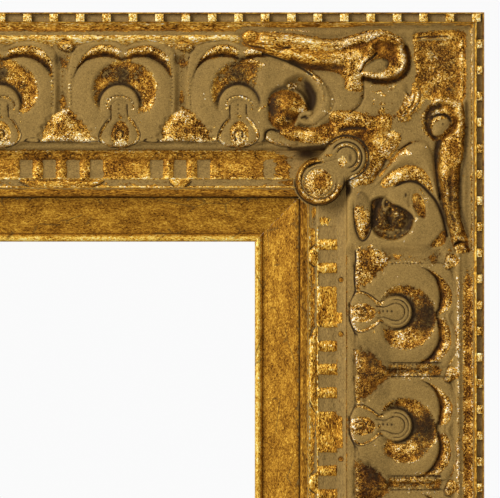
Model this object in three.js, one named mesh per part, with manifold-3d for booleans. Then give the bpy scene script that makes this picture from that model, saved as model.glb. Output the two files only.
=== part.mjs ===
import * as THREE from 'three';
import { mergeVertices } from 'three/addons/utils/BufferGeometryUtils.js';
import Module from 'manifold-3d';

const wasm = await Module();
wasm.setup();

// Picture and sight, in millimetres
const PICTURE_WIDTH = 406.4;
const PICTURE_HEIGHT = 508;
const PICTURE_PLAY = 1.3;
const SIGHT_LAP = 6;

// Bands across the rail, counted from the outer edge inwards
const LIP_WIDTH = 6.4;
const SHELL_BAND = 67.2;
const FRIEZE_BAND = 21.4;
const FILLET_WIDTH = 3.2;
const LINER_SHOW = 24.2;

// Height of the lip above the back of the rail, and drops from the lip to the lower steps
const LIP_HEIGHT = 48;
const CHANNEL_DEPTH = 3.4;
const SHELL_SEAT_DROP = 12;
const FRIEZE_SEAT_DROP = 19;
const FILLET_DROP = 14.5;
const LINER_DROP = 23;

// Clearances
const GLUE_LINE = 0.3;
const MITRE_GAP = 0.15;
const SEAT_GAP = 0.2;
const SCREW_PLAY = 0.3;
const BITE = 1;
const MERGE_DISTANCE = 1e-4;

// Rail
const LIP_RIM = 0.9;
const LIP_FILLET = 1.1;
const BACK_BEVEL = 3;
const BACK_BEVEL_RISE = 14;
const REBATE_WIDTH = 8.2;
const FILLET_ROUND = 1.6;

// Liner
const LINER_PLAY = 0.4;
const LINER_FLANGE = 14;
const LINER_LIP_WIDTH = 4.2;
const LINER_LIP_RISE = 3.4;
const LINER_LIP_THICK = 10;

// Bead run
const BEAD_PITCH = 14;
const BEAD_INSET_ACROSS = 4.3;
const BEAD_INSET_UPRIGHT = 16.9;
const BEAD_LENGTH = 4.8;
const BEAD_RISE = 2.4;
const BEAD_BASE = 0.9;

// Shell run
const SHELL_PITCH_ACROSS = 63.5;
const SHELL_PITCH_UPRIGHT = 60.4;
const SHELL_GAP = 8.6;
const RUN_END_PART = 11.7;
const COVE_WIDTH = 9;
const BORDER_WIDTH = 2.4;
const STRIP_GROUND = 4.5;
const STRIP_RIDGE = 8.5;
const CUSHION_RISE = 4.2;
const RIM_RISE = 6.4;
const RIM_WIDTH = 3;
const KNOB_RISE = 6.6;
const KNOB_RADIUS = 10.2;
const KNOB_NECK = 4.6;
const KNOB_TAIL = 10;
const LEAF_RISE = 4;
const BOWL_RADIUS = 16.6;

// Flute run
const FLUTE_PITCH = 12.5;
const FLUTE_WIDTH = 6.9;
const FLUTE_LENGTH = 10.6;
const FLUTE_DEPTH = 1.6;
const FLUTE_STRIP = 5.2;
const FLUTE_OFFSET = 4.8;
const FLUTES_MIN = 3;

// Corner ornament
const CORNER_ARM_ACROSS = 118.6;
const CORNER_ARM_UPRIGHT = 130;
const CORNER_GROUND = 5;
const LEAF_SCROLL_RISE = 8;
const SCROLL_RISE = 6;
const BALL_RADIUS = 11.2;
const BALL_RISE = 9;
const PENDANT_HEAD = 10.6;
const PENDANT_BULB = 11.8;
const PENDANT_RISE = 9.5;
const VOLUTE_RADIUS = 9.4;
const CARVED_EDGE = 1.8;
const STROKE_TIP = 0.3;

// Corner nails and brads
const NAIL_LEG = 9;
const NAIL_THICK = 0.8;
const NAIL_DEPTH = 10;
const NAIL_PLACES = [24, 62];
const BRAD_RADIUS = 0.7;
const BRAD_IN_RAIL = 7;
const BRAD_OUT = 6;
const BRAD_SHARE = 0.5;

// Hangers
const HANGER_DROP = 236;
const HANGER_INSET = 46;
const STRAP_WIDTH = 12;
const STRAP_LENGTH = 42;
const STRAP_THICK = 1;
const EYE_RADIUS = 1.75;
const EYE_TURN = 1.72 * Math.PI;
const WIRE_RADIUS = 1.4;
const RING_INSIDE = 14;
const RING_SIDE = 7;
const STRAP_SCREW_INSET = 9;

// Screws
const SCREW_RADIUS = 1.4;
const SCREW_LENGTH = 12;
const SCREW_HEAD = 3;
const SCREW_HEAD_RISE = 1.7;

// Turn buttons
const BUTTON_WIDTH = 10;
const BUTTON_REACH = 26;
const BUTTON_THICK = 1.4;

// Wall bumpers
const BUMPER_RADIUS = 7;
const BUMPER_HEIGHT = 6;
const BUMPER_INSET = 70;

// Sizes that follow from the ones above
const SHELL_SEAT = LIP_HEIGHT - SHELL_SEAT_DROP;
const FRIEZE_SEAT = LIP_HEIGHT - FRIEZE_SEAT_DROP;
const FILLET_HEIGHT = LIP_HEIGHT - FILLET_DROP;
const LINER_FACE = LIP_HEIGHT - LINER_DROP;
const HANGER_SCREWS = [STRAP_SCREW_INSET, STRAP_LENGTH - STRAP_SCREW_INSET];
const RAIL_WIDTH = LIP_WIDTH + SHELL_BAND + FRIEZE_BAND + FILLET_WIDTH;
const SIGHT_EDGE = RAIL_WIDTH + LINER_SHOW;
const OUTER_WIDTH = PICTURE_WIDTH + 2 * (PICTURE_PLAY - SIGHT_LAP + SIGHT_EDGE);
const OUTER_HEIGHT = PICTURE_HEIGHT + 2 * (PICTURE_PLAY - SIGHT_LAP + SIGHT_EDGE);
const BAND_IN = LIP_WIDTH + SHELL_BAND;
const FRIEZE_IN = BAND_IN + FRIEZE_BAND;
const REBATE_EDGE = RAIL_WIDTH - REBATE_WIDTH;
const REBATE_ROOF = LINER_FACE + SEAT_GAP;
const PICTURE_EDGE = SIGHT_EDGE - SIGHT_LAP;
const SHELL_TOP = LIP_WIDTH + COVE_WIDTH;
const SHELL_REACH = SHELL_BAND - COVE_WIDTH - BORDER_WIDTH;
const STRIP_FLOOR = SHELL_SEAT + GLUE_LINE;
const BUTTON_LINE = (RAIL_WIDTH + PICTURE_EDGE) / 2;
const BACK_Y = -(BUMPER_HEIGHT + SEAT_GAP);

// The four sides: along and out are unit steps in X and Z
const ACROSS = { length: OUTER_WIDTH, reach: OUTER_HEIGHT / 2, arm: CORNER_ARM_ACROSS };
const UPRIGHT = { length: OUTER_HEIGHT, reach: OUTER_WIDTH / 2, arm: CORNER_ARM_UPRIGHT };
const SIDES = [
  { name: 'top', along: [1, 0], out: [0, 1], upright: false, ...ACROSS },
  { name: 'right', along: [0, -1], out: [1, 0], upright: true, ...UPRIGHT },
  { name: 'bottom', along: [-1, 0], out: [0, -1], upright: false, ...ACROSS },
  { name: 'left', along: [0, 1], out: [-1, 0], upright: true, ...UPRIGHT },
];
const CORNERS = [
  { name: 'top_right', x: 1, z: 1 },
  { name: 'bottom_right', x: 1, z: -1 },
  { name: 'bottom_left', x: -1, z: -1 },
  { name: 'top_left', x: -1, z: 1 },
];

// Finishes read from the photograph
const finish = (color, roughness, metalness) => {
  return new THREE.MeshStandardMaterial({ color, roughness, metalness });
};
const GOLD_RAIL = finish('#99702c', 0.45, 0.5);
const GOLD_LINER = finish('#a77a2c', 0.4, 0.6);
const GOLD_BEAD = finish('#e0b962', 0.35, 0.7);
const OLIVE = finish('#967840', 0.55, 0.3);
const GOLD_FLUTE = finish('#9a7336', 0.45, 0.5);
const GOLD_CORNER = finish('#a0772f', 0.45, 0.5);
const STEEL = finish('#a8a8a4', 0.35, 1);
const BRASSED = finish('#b08a48', 0.35, 1);
const BUMPER_GREY = finish('#4a4844', 0.8, 0);

// Point at a distance along a side, from its outer edge inwards, and above the rail back
function onSide(side, along, inward, height) {
  const out = side.reach - inward;
  const [x, z] = [0, 1].map((k) => side.along[k] * along + side.out[k] * out);
  return [x, BACK_Y - height, z];
}

// Point from an outer corner: across, then down or up the upright, and above the rail back
function onCorner(corner, across, upright, height) {
  return [corner.x * (OUTER_WIDTH / 2 - across), BACK_Y - height, corner.z * (OUTER_HEIGHT / 2 - upright)];
}

function signedVolume(geometry) {
  const spots = geometry.getAttribute('position');
  const corner = [new THREE.Vector3(), new THREE.Vector3(), new THREE.Vector3()];
  let sum = 0;
  for (let i = 0; i < geometry.index.count; i += 3) {
    corner.forEach((spot, k) => spot.fromBufferAttribute(spots, geometry.index.getX(i + k)));
    sum += corner[0].dot(corner[1].clone().cross(corner[2]));
  }
  return sum / 6;
}

// Copy of a geometry with every point moved, turned right side out
function mapped(source, place) {
  const bare = source.clone();
  bare.deleteAttribute('normal');
  bare.deleteAttribute('uv');
  const joined = mergeVertices(bare, MERGE_DISTANCE);
  const spots = joined.getAttribute('position');
  for (let i = 0; i < spots.count; i += 1) {
    spots.setXYZ(i, ...place(spots.getX(i), spots.getY(i), spots.getZ(i)));
  }
  if (signedVolume(joined) < 0) {
    for (let i = 0; i < joined.index.count; i += 3) {
      const second = joined.index.getX(i + 1);
      joined.index.setX(i + 1, joined.index.getX(i + 2));
      joined.index.setX(i + 2, second);
    }
  }
  return joined;
}

const asIs = (x, y, z) => [x, y, z];

function toSolid(geometry) {
  const joined = mapped(geometry, asIs);
  return new wasm.Manifold(new wasm.Mesh({
    numProp: 3,
    vertProperties: new Float32Array(joined.getAttribute('position').array),
    triVerts: new Uint32Array(joined.index.array),
  }));
}

function toGeometry(solid) {
  const mesh = solid.getMesh();
  const geometry = new THREE.BufferGeometry();
  geometry.setAttribute('position', new THREE.BufferAttribute(mesh.vertProperties, 3));
  geometry.setIndex(new THREE.BufferAttribute(mesh.triVerts, 1));
  return geometry;
}

const cutAway = (solid, cutters) => cutters.reduce((rest, cutter) => rest.subtract(toSolid(cutter)), solid);
const joinAll = (solid, pieces) => pieces.reduce((whole, piece) => whole.add(toSolid(piece)), solid);

// Straight bar of a cross-section, mitred at both ends
function mitredBar(side, section, inset = MITRE_GAP) {
  const bar = new THREE.ExtrudeGeometry(section, { depth: 1, bevelEnabled: false, curveSegments: 4 });
  return mapped(bar, (inward, height, end) => {
    const half = side.length / 2 - inward - inset;
    return onSide(side, end > 0.5 ? half : -half, inward, height);
  });
}

// Upright prism of an outline, from a low to a high level, optionally with a sloped top edge
function prism(outline, low, high, edge = 0, holes = []) {
  const shape = new THREE.Shape(outline);
  holes.forEach((hole) => shape.holes.push(new THREE.Path(hole)));
  const sloped = edge > 0;
  const block = new THREE.ExtrudeGeometry(shape, {
    depth: high - low - (sloped ? 2 * edge : 0),
    bevelEnabled: sloped,
    bevelThickness: edge,
    bevelSize: edge,
    bevelOffset: -edge,
    bevelSegments: 1,
  });
  block.translate(0, 0, low + edge);
  return block;
}

// Rod with its axis on the depth direction, from a low to a high level
function rod(x, z, radius, low, high, segments = 12) {
  const pin = new THREE.CylinderGeometry(radius, radius, high - low, segments);
  pin.translate(x, (low + high) / 2, z);
  return pin;
}

const at = (x, y) => new THREE.Vector2(x, y);

// Closed smooth outline through a few points
function smoothOutline(points, count) {
  const curve = new THREE.CatmullRomCurve3(points.map(([x, y]) => new THREE.Vector3(x, y, 0)), true);
  return curve.getPoints(count).slice(0, -1).map((spot) => at(spot.x, spot.y));
}

// Outline of a smooth stroke with a width that tapers to both ends
function strokeOutline(points, width, count) {
  const curve = new THREE.SplineCurve(points.map(([x, y]) => at(x, y)));
  const near = [];
  const far = [];
  for (let i = 0; i <= count; i += 1) {
    const share = i / count;
    const spot = curve.getPoint(share);
    const run = curve.getTangent(share);
    const half = width * (STROKE_TIP + (1 - STROKE_TIP) * Math.sin(Math.PI * share));
    near.push(at(spot.x - run.y * half, spot.y + run.x * half));
    far.unshift(at(spot.x + run.y * half, spot.y - run.x * half));
  }
  return [...near, ...far];
}

// Outline of a round, counter-clockwise
function roundOutline(x, y, radius, count, from = 0, sweep = 2 * Math.PI) {
  const whole = sweep >= 2 * Math.PI;
  const steps = whole ? count : count - 1;
  return Array.from({ length: count }, (unused, i) => {
    const angle = from + (sweep * i) / steps;
    return at(x + radius * Math.cos(angle), y + radius * Math.sin(angle));
  });
}

const frame = new THREE.Group();
frame.name = 'baroque_frame';

function addPiece(name, geometry, material) {
  const flat = geometry.index ? geometry.toNonIndexed() : geometry;
  flat.computeVertexNormals();
  const mesh = new THREE.Mesh(flat, material);
  mesh.name = name;
  frame.add(mesh);
}

// Corner nails: both legs lie along the rails they join
const NAIL_SITES = CORNERS.flatMap((corner) => {
  return NAIL_PLACES.map((place, i) => ({ corner, place, number: i + 1 }));
});
function nailShape(site, play) {
  const start = site.place - play;
  const end = site.place + NAIL_LEG + play;
  const thick = site.place + NAIL_THICK + play;
  const outline = [
    at(start, start), at(end, start), at(end, thick),
    at(thick, thick), at(thick, end), at(start, end),
  ];
  const depth = NAIL_DEPTH + play;
  const block = prism(outline, play > 0 ? -BITE : 0, depth);
  return mapped(block, (x, y, height) => onCorner(site.corner, x, y, height));
}

// Brads: driven sideways into the rebate wall, behind the liner's flange
const BRAD_HEIGHT = LINER_FACE - LINER_FLANGE - BRAD_RADIUS - SEAT_GAP;
const bradSpots = (side) => [-1, 1].map((hand) => hand * BRAD_SHARE * (side.length / 2 - PICTURE_EDGE));
function bradShape(side, along, play) {
  const radius = BRAD_RADIUS + play;
  const from = REBATE_EDGE - BRAD_IN_RAIL - play;
  const to = play > 0 ? REBATE_EDGE + BITE : REBATE_EDGE + BRAD_OUT;
  const pin = rod(0, 0, radius, from, to, 6);
  return mapped(pin, (x, inward, z) => onSide(side, along + x, inward, BRAD_HEIGHT + z));
}

// Screw holes in the backs, as round cutters from behind
function pilotHole(x, z) {
  const radius = SCREW_RADIUS + SCREW_PLAY;
  return rod(x, z, radius, BACK_Y - SCREW_LENGTH - SCREW_PLAY, BACK_Y + BITE, 8);
}

// Hanger places on the two uprights: sign of X for each
const HANGER_HANDS = [{ name: 'right', x: 1 }, { name: 'left', x: -1 }];
const hangerX = (hand) => hand.x * (OUTER_WIDTH / 2 - HANGER_INSET);
const HANGER_Z = OUTER_HEIGHT / 2 - HANGER_DROP;
const hangerHoles = (hand) => HANGER_SCREWS.map((drop) => pilotHole(hangerX(hand), HANGER_Z - drop));

// Rails
const railSection = new THREE.Shape();
railSection.moveTo(BACK_BEVEL, 0);
railSection.lineTo(0, BACK_BEVEL_RISE);
railSection.lineTo(0, LIP_HEIGHT - LIP_RIM);
railSection.lineTo(LIP_RIM / 2, LIP_HEIGHT);
railSection.lineTo(LIP_RIM, LIP_HEIGHT);
railSection.lineTo(LIP_RIM, LIP_HEIGHT - CHANNEL_DEPTH);
railSection.lineTo(LIP_WIDTH - LIP_FILLET, LIP_HEIGHT - CHANNEL_DEPTH);
railSection.lineTo(LIP_WIDTH - LIP_FILLET, LIP_HEIGHT);
railSection.lineTo(LIP_WIDTH, LIP_HEIGHT);
railSection.lineTo(LIP_WIDTH, SHELL_SEAT);
railSection.lineTo(BAND_IN, SHELL_SEAT);
railSection.lineTo(BAND_IN, FRIEZE_SEAT);
railSection.lineTo(FRIEZE_IN, FRIEZE_SEAT);
railSection.lineTo(FRIEZE_IN, FILLET_HEIGHT);
railSection.lineTo(RAIL_WIDTH - FILLET_ROUND, FILLET_HEIGHT);
railSection.quadraticCurveTo(RAIL_WIDTH, FILLET_HEIGHT, RAIL_WIDTH, FILLET_HEIGHT - FILLET_ROUND);
railSection.lineTo(RAIL_WIDTH, REBATE_ROOF);
railSection.lineTo(REBATE_EDGE, REBATE_ROOF);
railSection.lineTo(REBATE_EDGE, 0);

for (const side of SIDES) {
  const atEnd = ({ corner }) => (side.upright ? corner.x === side.out[0] : corner.z === side.out[1]);
  const cutters = NAIL_SITES.filter(atEnd).map((site) => nailShape(site, SCREW_PLAY));
  cutters.push(...bradSpots(side).map((along) => bradShape(side, along, SCREW_PLAY)));
  const hand = HANGER_HANDS.find((one) => one.name === side.name);
  if (hand) cutters.push(...hangerHoles(hand));
  const rail = cutAway(toSolid(mitredBar(side, railSection)), cutters);
  addPiece(`rail_${side.name}`, toGeometry(rail), GOLD_RAIL);
}

// Liner bars with the sight lip and the picture rebate
const linerOut = REBATE_EDGE + LINER_PLAY;
const lipStart = SIGHT_EDGE - LINER_LIP_WIDTH;
const lipTop = LINER_FACE + LINER_LIP_RISE;
const flangeBack = LINER_FACE - LINER_FLANGE;
const linerSection = new THREE.Shape();
linerSection.moveTo(linerOut, flangeBack);
linerSection.lineTo(linerOut, LINER_FACE);
linerSection.lineTo(lipStart, LINER_FACE);
linerSection.quadraticCurveTo(lipStart, lipTop, lipStart + LINER_LIP_WIDTH / 2, lipTop);
linerSection.quadraticCurveTo(SIGHT_EDGE, lipTop, SIGHT_EDGE, LINER_FACE);
linerSection.lineTo(SIGHT_EDGE, LINER_FACE - LINER_LIP_THICK);
linerSection.lineTo(PICTURE_EDGE, LINER_FACE - LINER_LIP_THICK);
linerSection.lineTo(PICTURE_EDGE, 0);
linerSection.lineTo(RAIL_WIDTH + SEAT_GAP, 0);
linerSection.lineTo(RAIL_WIDTH + SEAT_GAP, flangeBack);

// Turn buttons sit at the middle of each liner bar
const buttonPivot = (side) => onSide(side, 0, BUTTON_LINE, 0);
for (const side of SIDES) {
  const [x, , z] = buttonPivot(side);
  const bar = cutAway(toSolid(mitredBar(side, linerSection)), [pilotHole(x, z)]);
  addPiece(`liner_${side.name}`, toGeometry(bar), GOLD_LINER);
}

// Bead runs: square beads on a strip; the strips across run into the corners, the upright ones butt
const beadOut = LIP_RIM + GLUE_LINE;
const beadWidth = LIP_WIDTH - LIP_FILLET - LIP_RIM - 2 * GLUE_LINE;
const beadFloor = LIP_HEIGHT - CHANNEL_DEPTH + GLUE_LINE;
for (const side of SIDES) {
  const end = side.length / 2 - (side.upright ? LIP_WIDTH - LIP_FILLET : beadOut);
  const span = side.length - 2 * (side.upright ? BEAD_INSET_UPRIGHT : BEAD_INSET_ACROSS);
  const count = Math.round(span / BEAD_PITCH);
  const top = beadFloor + BEAD_BASE;
  const comb = [at(-end, beadFloor), at(end, beadFloor), at(end, top)];
  for (let i = 0; i <= count; i += 1) {
    const middle = span * (0.5 - i / count);
    comb.push(at(middle + BEAD_LENGTH / 2, top), at(middle + BEAD_LENGTH / 2, top + BEAD_RISE));
    comb.push(at(middle - BEAD_LENGTH / 2, top + BEAD_RISE), at(middle - BEAD_LENGTH / 2, top));
  }
  comb.push(at(-end, top));
  const strip = mapped(prism(comb, 0, beadWidth), (along, height, inward) => {
    return onSide(side, along, beadOut + inward, height);
  });
  addPiece(`bead_run_${side.name}`, strip, GOLD_BEAD);
}

// Shell strip limits and its ground level
const stripOut = LIP_WIDTH + GLUE_LINE;
const stripIn = BAND_IN - GLUE_LINE;
const groundTop = STRIP_FLOOR + STRIP_GROUND;

// Places of the shells and of the gaps between them along a side
function shellPlaces(side) {
  const half = side.length / 2 - side.arm;
  const nominal = side.upright ? SHELL_PITCH_UPRIGHT : SHELL_PITCH_ACROSS;
  const free = side.upright ? 2 * half : 2 * (half - RUN_END_PART);
  const count = Math.round(free / nominal);
  const pitch = free / count;
  const shells = Array.from({ length: side.upright ? count : count + 1 }, (unused, i) => {
    return (side.upright ? i + 0.5 : i) * pitch - free / 2;
  });
  const gaps = Array.from({ length: side.upright ? count + 1 : count }, (unused, i) => {
    return (side.upright ? i : i + 0.5) * pitch - free / 2;
  });
  return { half, pitch, shells, gaps };
}

// One shell, drawn along and inward: arched pad, cushion sunk inside its rim, bowl and keyhole drop
function shellPiece(middle, pitch) {
  const wide = (pitch - SHELL_GAP) / 2;
  const spot = ([across, down]) => at(middle + across * wide, SHELL_TOP + down * SHELL_REACH);
  const low = groundTop - BITE;
  const cushionTop = groundTop + CUSHION_RISE;
  const arch = [[-1, 0.6], [-1, 0.24], [-0.52, 0], [0, 0.08], [0.52, 0], [1, 0.24], [1, 0.6]];
  const slim = 1 - RIM_WIDTH / wide;
  const drop = RIM_WIDTH / SHELL_REACH;
  const inside = arch.map(([x, y]) => [x * slim, y + drop]).slice(1, -1);
  const pad = prism([...arch, [0.58, 0.97], [-0.58, 0.97]].map(spot), low, groundTop + RIM_RISE);
  const sunk = prism([...inside, [0.6, 1], [-0.6, 1]].map(spot), cushionTop, LIP_HEIGHT + RIM_RISE);
  const head = spot([0, 0.6]);
  const bowlOutline = roundOutline(head.x, head.y - KNOB_RADIUS / 3, BOWL_RADIUS, 6, -Math.PI, Math.PI);
  const bowl = prism(bowlOutline, groundTop, cushionTop + BITE);
  const skull = roundOutline(head.x, head.y, KNOB_RADIUS, 6, 0.9 * Math.PI, 1.2 * Math.PI);
  const [neck, base] = [spot([0, 0.71]).y, spot([0, 0.97]).y];
  const drip = [[KNOB_NECK, neck], [KNOB_TAIL, base], [-KNOB_TAIL, base], [-KNOB_NECK, neck]];
  const keyhole = prism([...skull, ...drip.map(([x, y]) => at(middle + x, y))], low, groundTop + KNOB_RISE);
  return joinAll(cutAway(toSolid(pad), [sunk, bowl]), [keyhole]);
}

// Leaf in the gap between two shells
function gapLeaf(middle, pitch) {
  const wide = (pitch - SHELL_GAP) / 2;
  const low = groundTop - BITE;
  const y = (down) => SHELL_TOP + down * SHELL_REACH;
  const leaf = [at(middle, y(0.66)), at(middle + wide / 2, y(0.93)), at(middle - wide / 2, y(0.93))];
  return prism(leaf, low, groundTop + LEAF_RISE);
}

// Shell runs: a strip with cove and ridge, the shells on it, cut square at the corner ornaments
const ridgeTop = STRIP_FLOOR + STRIP_RIDGE;
const stripSection = new THREE.Shape();
stripSection.moveTo(stripOut, STRIP_FLOOR);
stripSection.lineTo(stripOut, ridgeTop);
stripSection.quadraticCurveTo(stripOut + COVE_WIDTH / 4, groundTop, stripOut + COVE_WIDTH / 2, groundTop);
stripSection.lineTo(stripOut + COVE_WIDTH / 2, ridgeTop);
stripSection.lineTo(SHELL_TOP, ridgeTop);
stripSection.lineTo(SHELL_TOP + RIM_WIDTH / 2, groundTop);
stripSection.lineTo(stripIn - BORDER_WIDTH, groundTop);
stripSection.lineTo(stripIn, STRIP_FLOOR + STRIP_GROUND / 2);
stripSection.lineTo(stripIn, STRIP_FLOOR);

for (const side of SIDES) {
  const { half, pitch, shells, gaps } = shellPlaces(side);
  const end = half - GLUE_LINE;
  const sweep = { depth: 2 * end, bevelEnabled: false, curveSegments: 3 };
  const strip = new THREE.ExtrudeGeometry(stripSection, sweep);
  const base = mapped(strip, (inward, height, along) => [along - end, inward, height]);
  const leaves = gaps.map((middle) => gapLeaf(middle, pitch));
  const plain = joinAll(toSolid(base), leaves);
  const carvedStrip = shells.reduce((whole, middle) => whole.add(shellPiece(middle, pitch)), plain);
  const keep = [at(-end, stripOut), at(end, stripOut), at(end, stripIn), at(-end, stripIn)];
  const trim = toSolid(prism(keep, 0, LIP_HEIGHT + SHELL_BAND));
  const run = carvedStrip.intersect(trim);
  addPiece(`shell_run_${side.name}`, mapped(toGeometry(run), (x, y, z) => onSide(side, x, y, z)), OLIVE);
}

// Flute runs: mitred strips with short flutes in groups of three and four
const fluteFloor = FRIEZE_SEAT + GLUE_LINE;
const fluteTop = fluteFloor + FLUTE_STRIP;
const fluteOut = BAND_IN + GLUE_LINE;
const fluteIn = FRIEZE_IN - GLUE_LINE;
const fluteSection = new THREE.Shape();
fluteSection.moveTo(fluteOut, fluteFloor);
fluteSection.lineTo(fluteOut, fluteTop);
fluteSection.lineTo(fluteIn - FILLET_WIDTH, fluteTop);
fluteSection.lineTo(fluteIn, fluteTop - FLUTE_DEPTH);
fluteSection.lineTo(fluteIn, fluteFloor);

for (const side of SIDES) {
  const { pitch, gaps } = shellPlaces(side);
  const from = BAND_IN + FLUTE_OFFSET;
  const limit = side.length / 2 - from - FLUTE_LENGTH - FLUTE_WIDTH;
  const cutters = [];
  for (const gap of gaps) {
    const count = FLUTES_MIN + (Math.floor(Math.abs(gap) / pitch + 0.01) % 2);
    for (let i = 0; i < count; i += 1) {
      const middle = gap + (i - (count - 1) / 2) * FLUTE_PITCH;
      if (Math.abs(middle) < limit) {
        const flute = new THREE.BoxGeometry(FLUTE_WIDTH, FLUTE_LENGTH, 2 * FLUTE_DEPTH);
        flute.translate(middle, from + FLUTE_LENGTH / 2, fluteTop);
        cutters.push(mapped(flute, (x, y, z) => onSide(side, x, y, z)));
      }
    }
  }
  const run = cutAway(toSolid(mitredBar(side, fluteSection)), cutters);
  addPiece(`flute_run_${side.name}`, toGeometry(run), GOLD_FLUTE);
}

// Corner ornament, drawn on a grid whose unit is the shell band, from the outer corner
const cornerFloor = SHELL_SEAT + GLUE_LINE;
const cornerTop = cornerFloor + CORNER_GROUND;
const armAcross = CORNER_ARM_ACROSS - GLUE_LINE;
const armUpright = CORNER_ARM_UPRIGHT - GLUE_LINE;
const onGrid = (points) => points.map(([x, y]) => [LIP_WIDTH + SHELL_BAND * x, LIP_WIDTH + SHELL_BAND * y]);
const arms = [
  at(stripOut, stripOut), at(armAcross, stripOut), at(armAcross, stripIn),
  at(stripIn, stripIn), at(stripIn, armUpright), at(stripOut, armUpright),
];
const carved = (outline, rise) => prism(outline, cornerTop - 2 * CARVED_EDGE, cornerTop + rise, CARVED_EDGE);
const flat = (outline, rise) => prism(outline, cornerTop - BITE, cornerTop + rise);

const leafScroll = smoothOutline(onGrid([
  [1.66, 0.12], [1.36, 0.09], [1.09, 0.13], [0.85, 0.06], [0.62, 0.09],
  [0.52, 0.28], [0.6, 0.41], [0.86, 0.38], [1.2, 0.36], [1.62, 0.22],
]), 12);
const cScroll = strokeOutline(onGrid([
  [1.6, 0.29], [1.36, 0.33], [1.2, 0.46], [1.13, 0.6], [1.18, 0.73], [1.3, 0.75],
]), RIM_WIDTH, 5);
const column = smoothOutline(onGrid([
  [0.24, 0.59], [0.07, 0.6], [0.06, 0.92], [0.1, 1.25], [0.08, 1.75], [0.18, 1.75], [0.25, 1.3], [0.27, 0.92],
]), 9);
const halfArch = strokeOutline(onGrid([
  [0.69, 1.2], [0.57, 1.04], [0.41, 0.94], [0.3, 1.06], [0.25, 1.35], [0.2, 1.62], [0.26, 1.77],
]), RIM_WIDTH, 6);
const halfCushion = smoothOutline(onGrid([
  [0.7, 1.32], [0.49, 1.27], [0.32, 1.39], [0.24, 1.62], [0.35, 1.78], [0.6, 1.8], [0.78, 1.72],
]), 9);
const petal = smoothOutline(onGrid([[0.93, 1.32], [0.82, 1.36], [0.82, 1.6], [0.88, 1.71], [0.94, 1.56]]), 6);
const panel = smoothOutline(onGrid([[0.87, 0.46], [0.62, 0.5], [0.5, 0.62], [0.62, 0.72], [0.84, 0.71]]), 6);
const diagonal = smoothOutline(onGrid([
  [1.16, 0.86], [1.09, 0.74], [0.62, 0.72], [0.6, 0.98], [0.88, 1.22],
]), 8);
const [ballSpot, voluteSpot, bowlSpot, headSpot, bulbSpot] = onGrid([
  [1.46, 0.66], [0.25, 0.76], [0.62, 1.52], [0.99, 1.06], [1.2, 1.24],
]);

// The pendant stands on the frieze, so it starts at the flute strip's top
const pendantFloor = fluteTop + GLUE_LINE;
const pendantTop = cornerTop + PENDANT_RISE;
const bulb = prism(roundOutline(...bulbSpot, PENDANT_BULB, 10), pendantFloor, pendantTop, CARVED_EDGE);
const skull = carved(roundOutline(...headSpot, PENDANT_HEAD, 8), PENDANT_RISE);
const neck = flat(strokeOutline([headSpot, bulbSpot], PENDANT_HEAD / 2, 2), PENDANT_RISE - CARVED_EDGE);

function dome(spot, level, rise) {
  const round = new THREE.SphereGeometry(BALL_RADIUS, 8, 4);
  return mapped(round, (x, y, z) => [spot[0] + x, spot[1] + z, level + (y * rise) / BALL_RADIUS]);
}
const ball = dome(ballSpot, cornerTop, BALL_RISE);
const bowl = dome(bowlSpot, cornerTop + CUSHION_RISE, SCROLL_RISE);

const raised = [
  carved(leafScroll, LEAF_SCROLL_RISE), flat(cScroll, SCROLL_RISE), carved(column, SCROLL_RISE),
  flat(halfArch, SCROLL_RISE), carved(halfCushion, CUSHION_RISE), flat(petal, CUSHION_RISE),
  flat(panel, CUSHION_RISE), flat(diagonal, LEAF_RISE), ball,
  carved(roundOutline(...voluteSpot, VOLUTE_RADIUS, 8), LEAF_SCROLL_RISE),
];
const armBlock = toSolid(prism(arms, cornerFloor, LIP_HEIGHT + SHELL_BAND));
const plate = toSolid(prism(arms, cornerFloor, cornerTop));
const carving = joinAll(plate, raised).subtract(toSolid(bowl)).intersect(armBlock);
const corner = toGeometry(joinAll(carving, [skull, neck, bulb]));
for (const place of CORNERS) {
  const turned = mapped(corner, (x, y, z) => onCorner(place, x, y, z));
  addPiece(`corner_ornament_${place.name}`, turned, GOLD_CORNER);
}

// Corner nails and brads
for (const site of NAIL_SITES) {
  addPiece(`corner_nail_${site.corner.name}_${site.number}`, nailShape(site, 0), STEEL);
}
for (const side of SIDES) {
  bradSpots(side).forEach((along, i) => {
    addPiece(`brad_${side.name}_${i + 1}`, bradShape(side, along, 0), STEEL);
  });
}

// Pan head screw from behind, at a height of its head above the back
function screw(x, z, headBase) {
  const shank = rod(x, z, SCREW_RADIUS, BACK_Y - SCREW_LENGTH, headBase + BITE / 2, 6);
  const head = rod(x, z, SCREW_HEAD, headBase, headBase + SCREW_HEAD_RISE, 10);
  return toGeometry(joinAll(toSolid(shank), [head]));
}

// Hanger straps: flat strip whose upper end is rolled into an eye
const strapBack = BACK_Y + SEAT_GAP;
const eyeOut = EYE_RADIUS + STRAP_THICK;
const ringY = strapBack + eyeOut;
const strapOutline = [
  at(-STRAP_LENGTH, 0),
  ...roundOutline(0, eyeOut, eyeOut, 9, -Math.PI / 2, EYE_TURN),
  ...roundOutline(0, eyeOut, EYE_RADIUS, 9, -Math.PI / 2, EYE_TURN).reverse(),
  at(-STRAP_LENGTH, STRAP_THICK),
];

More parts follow.
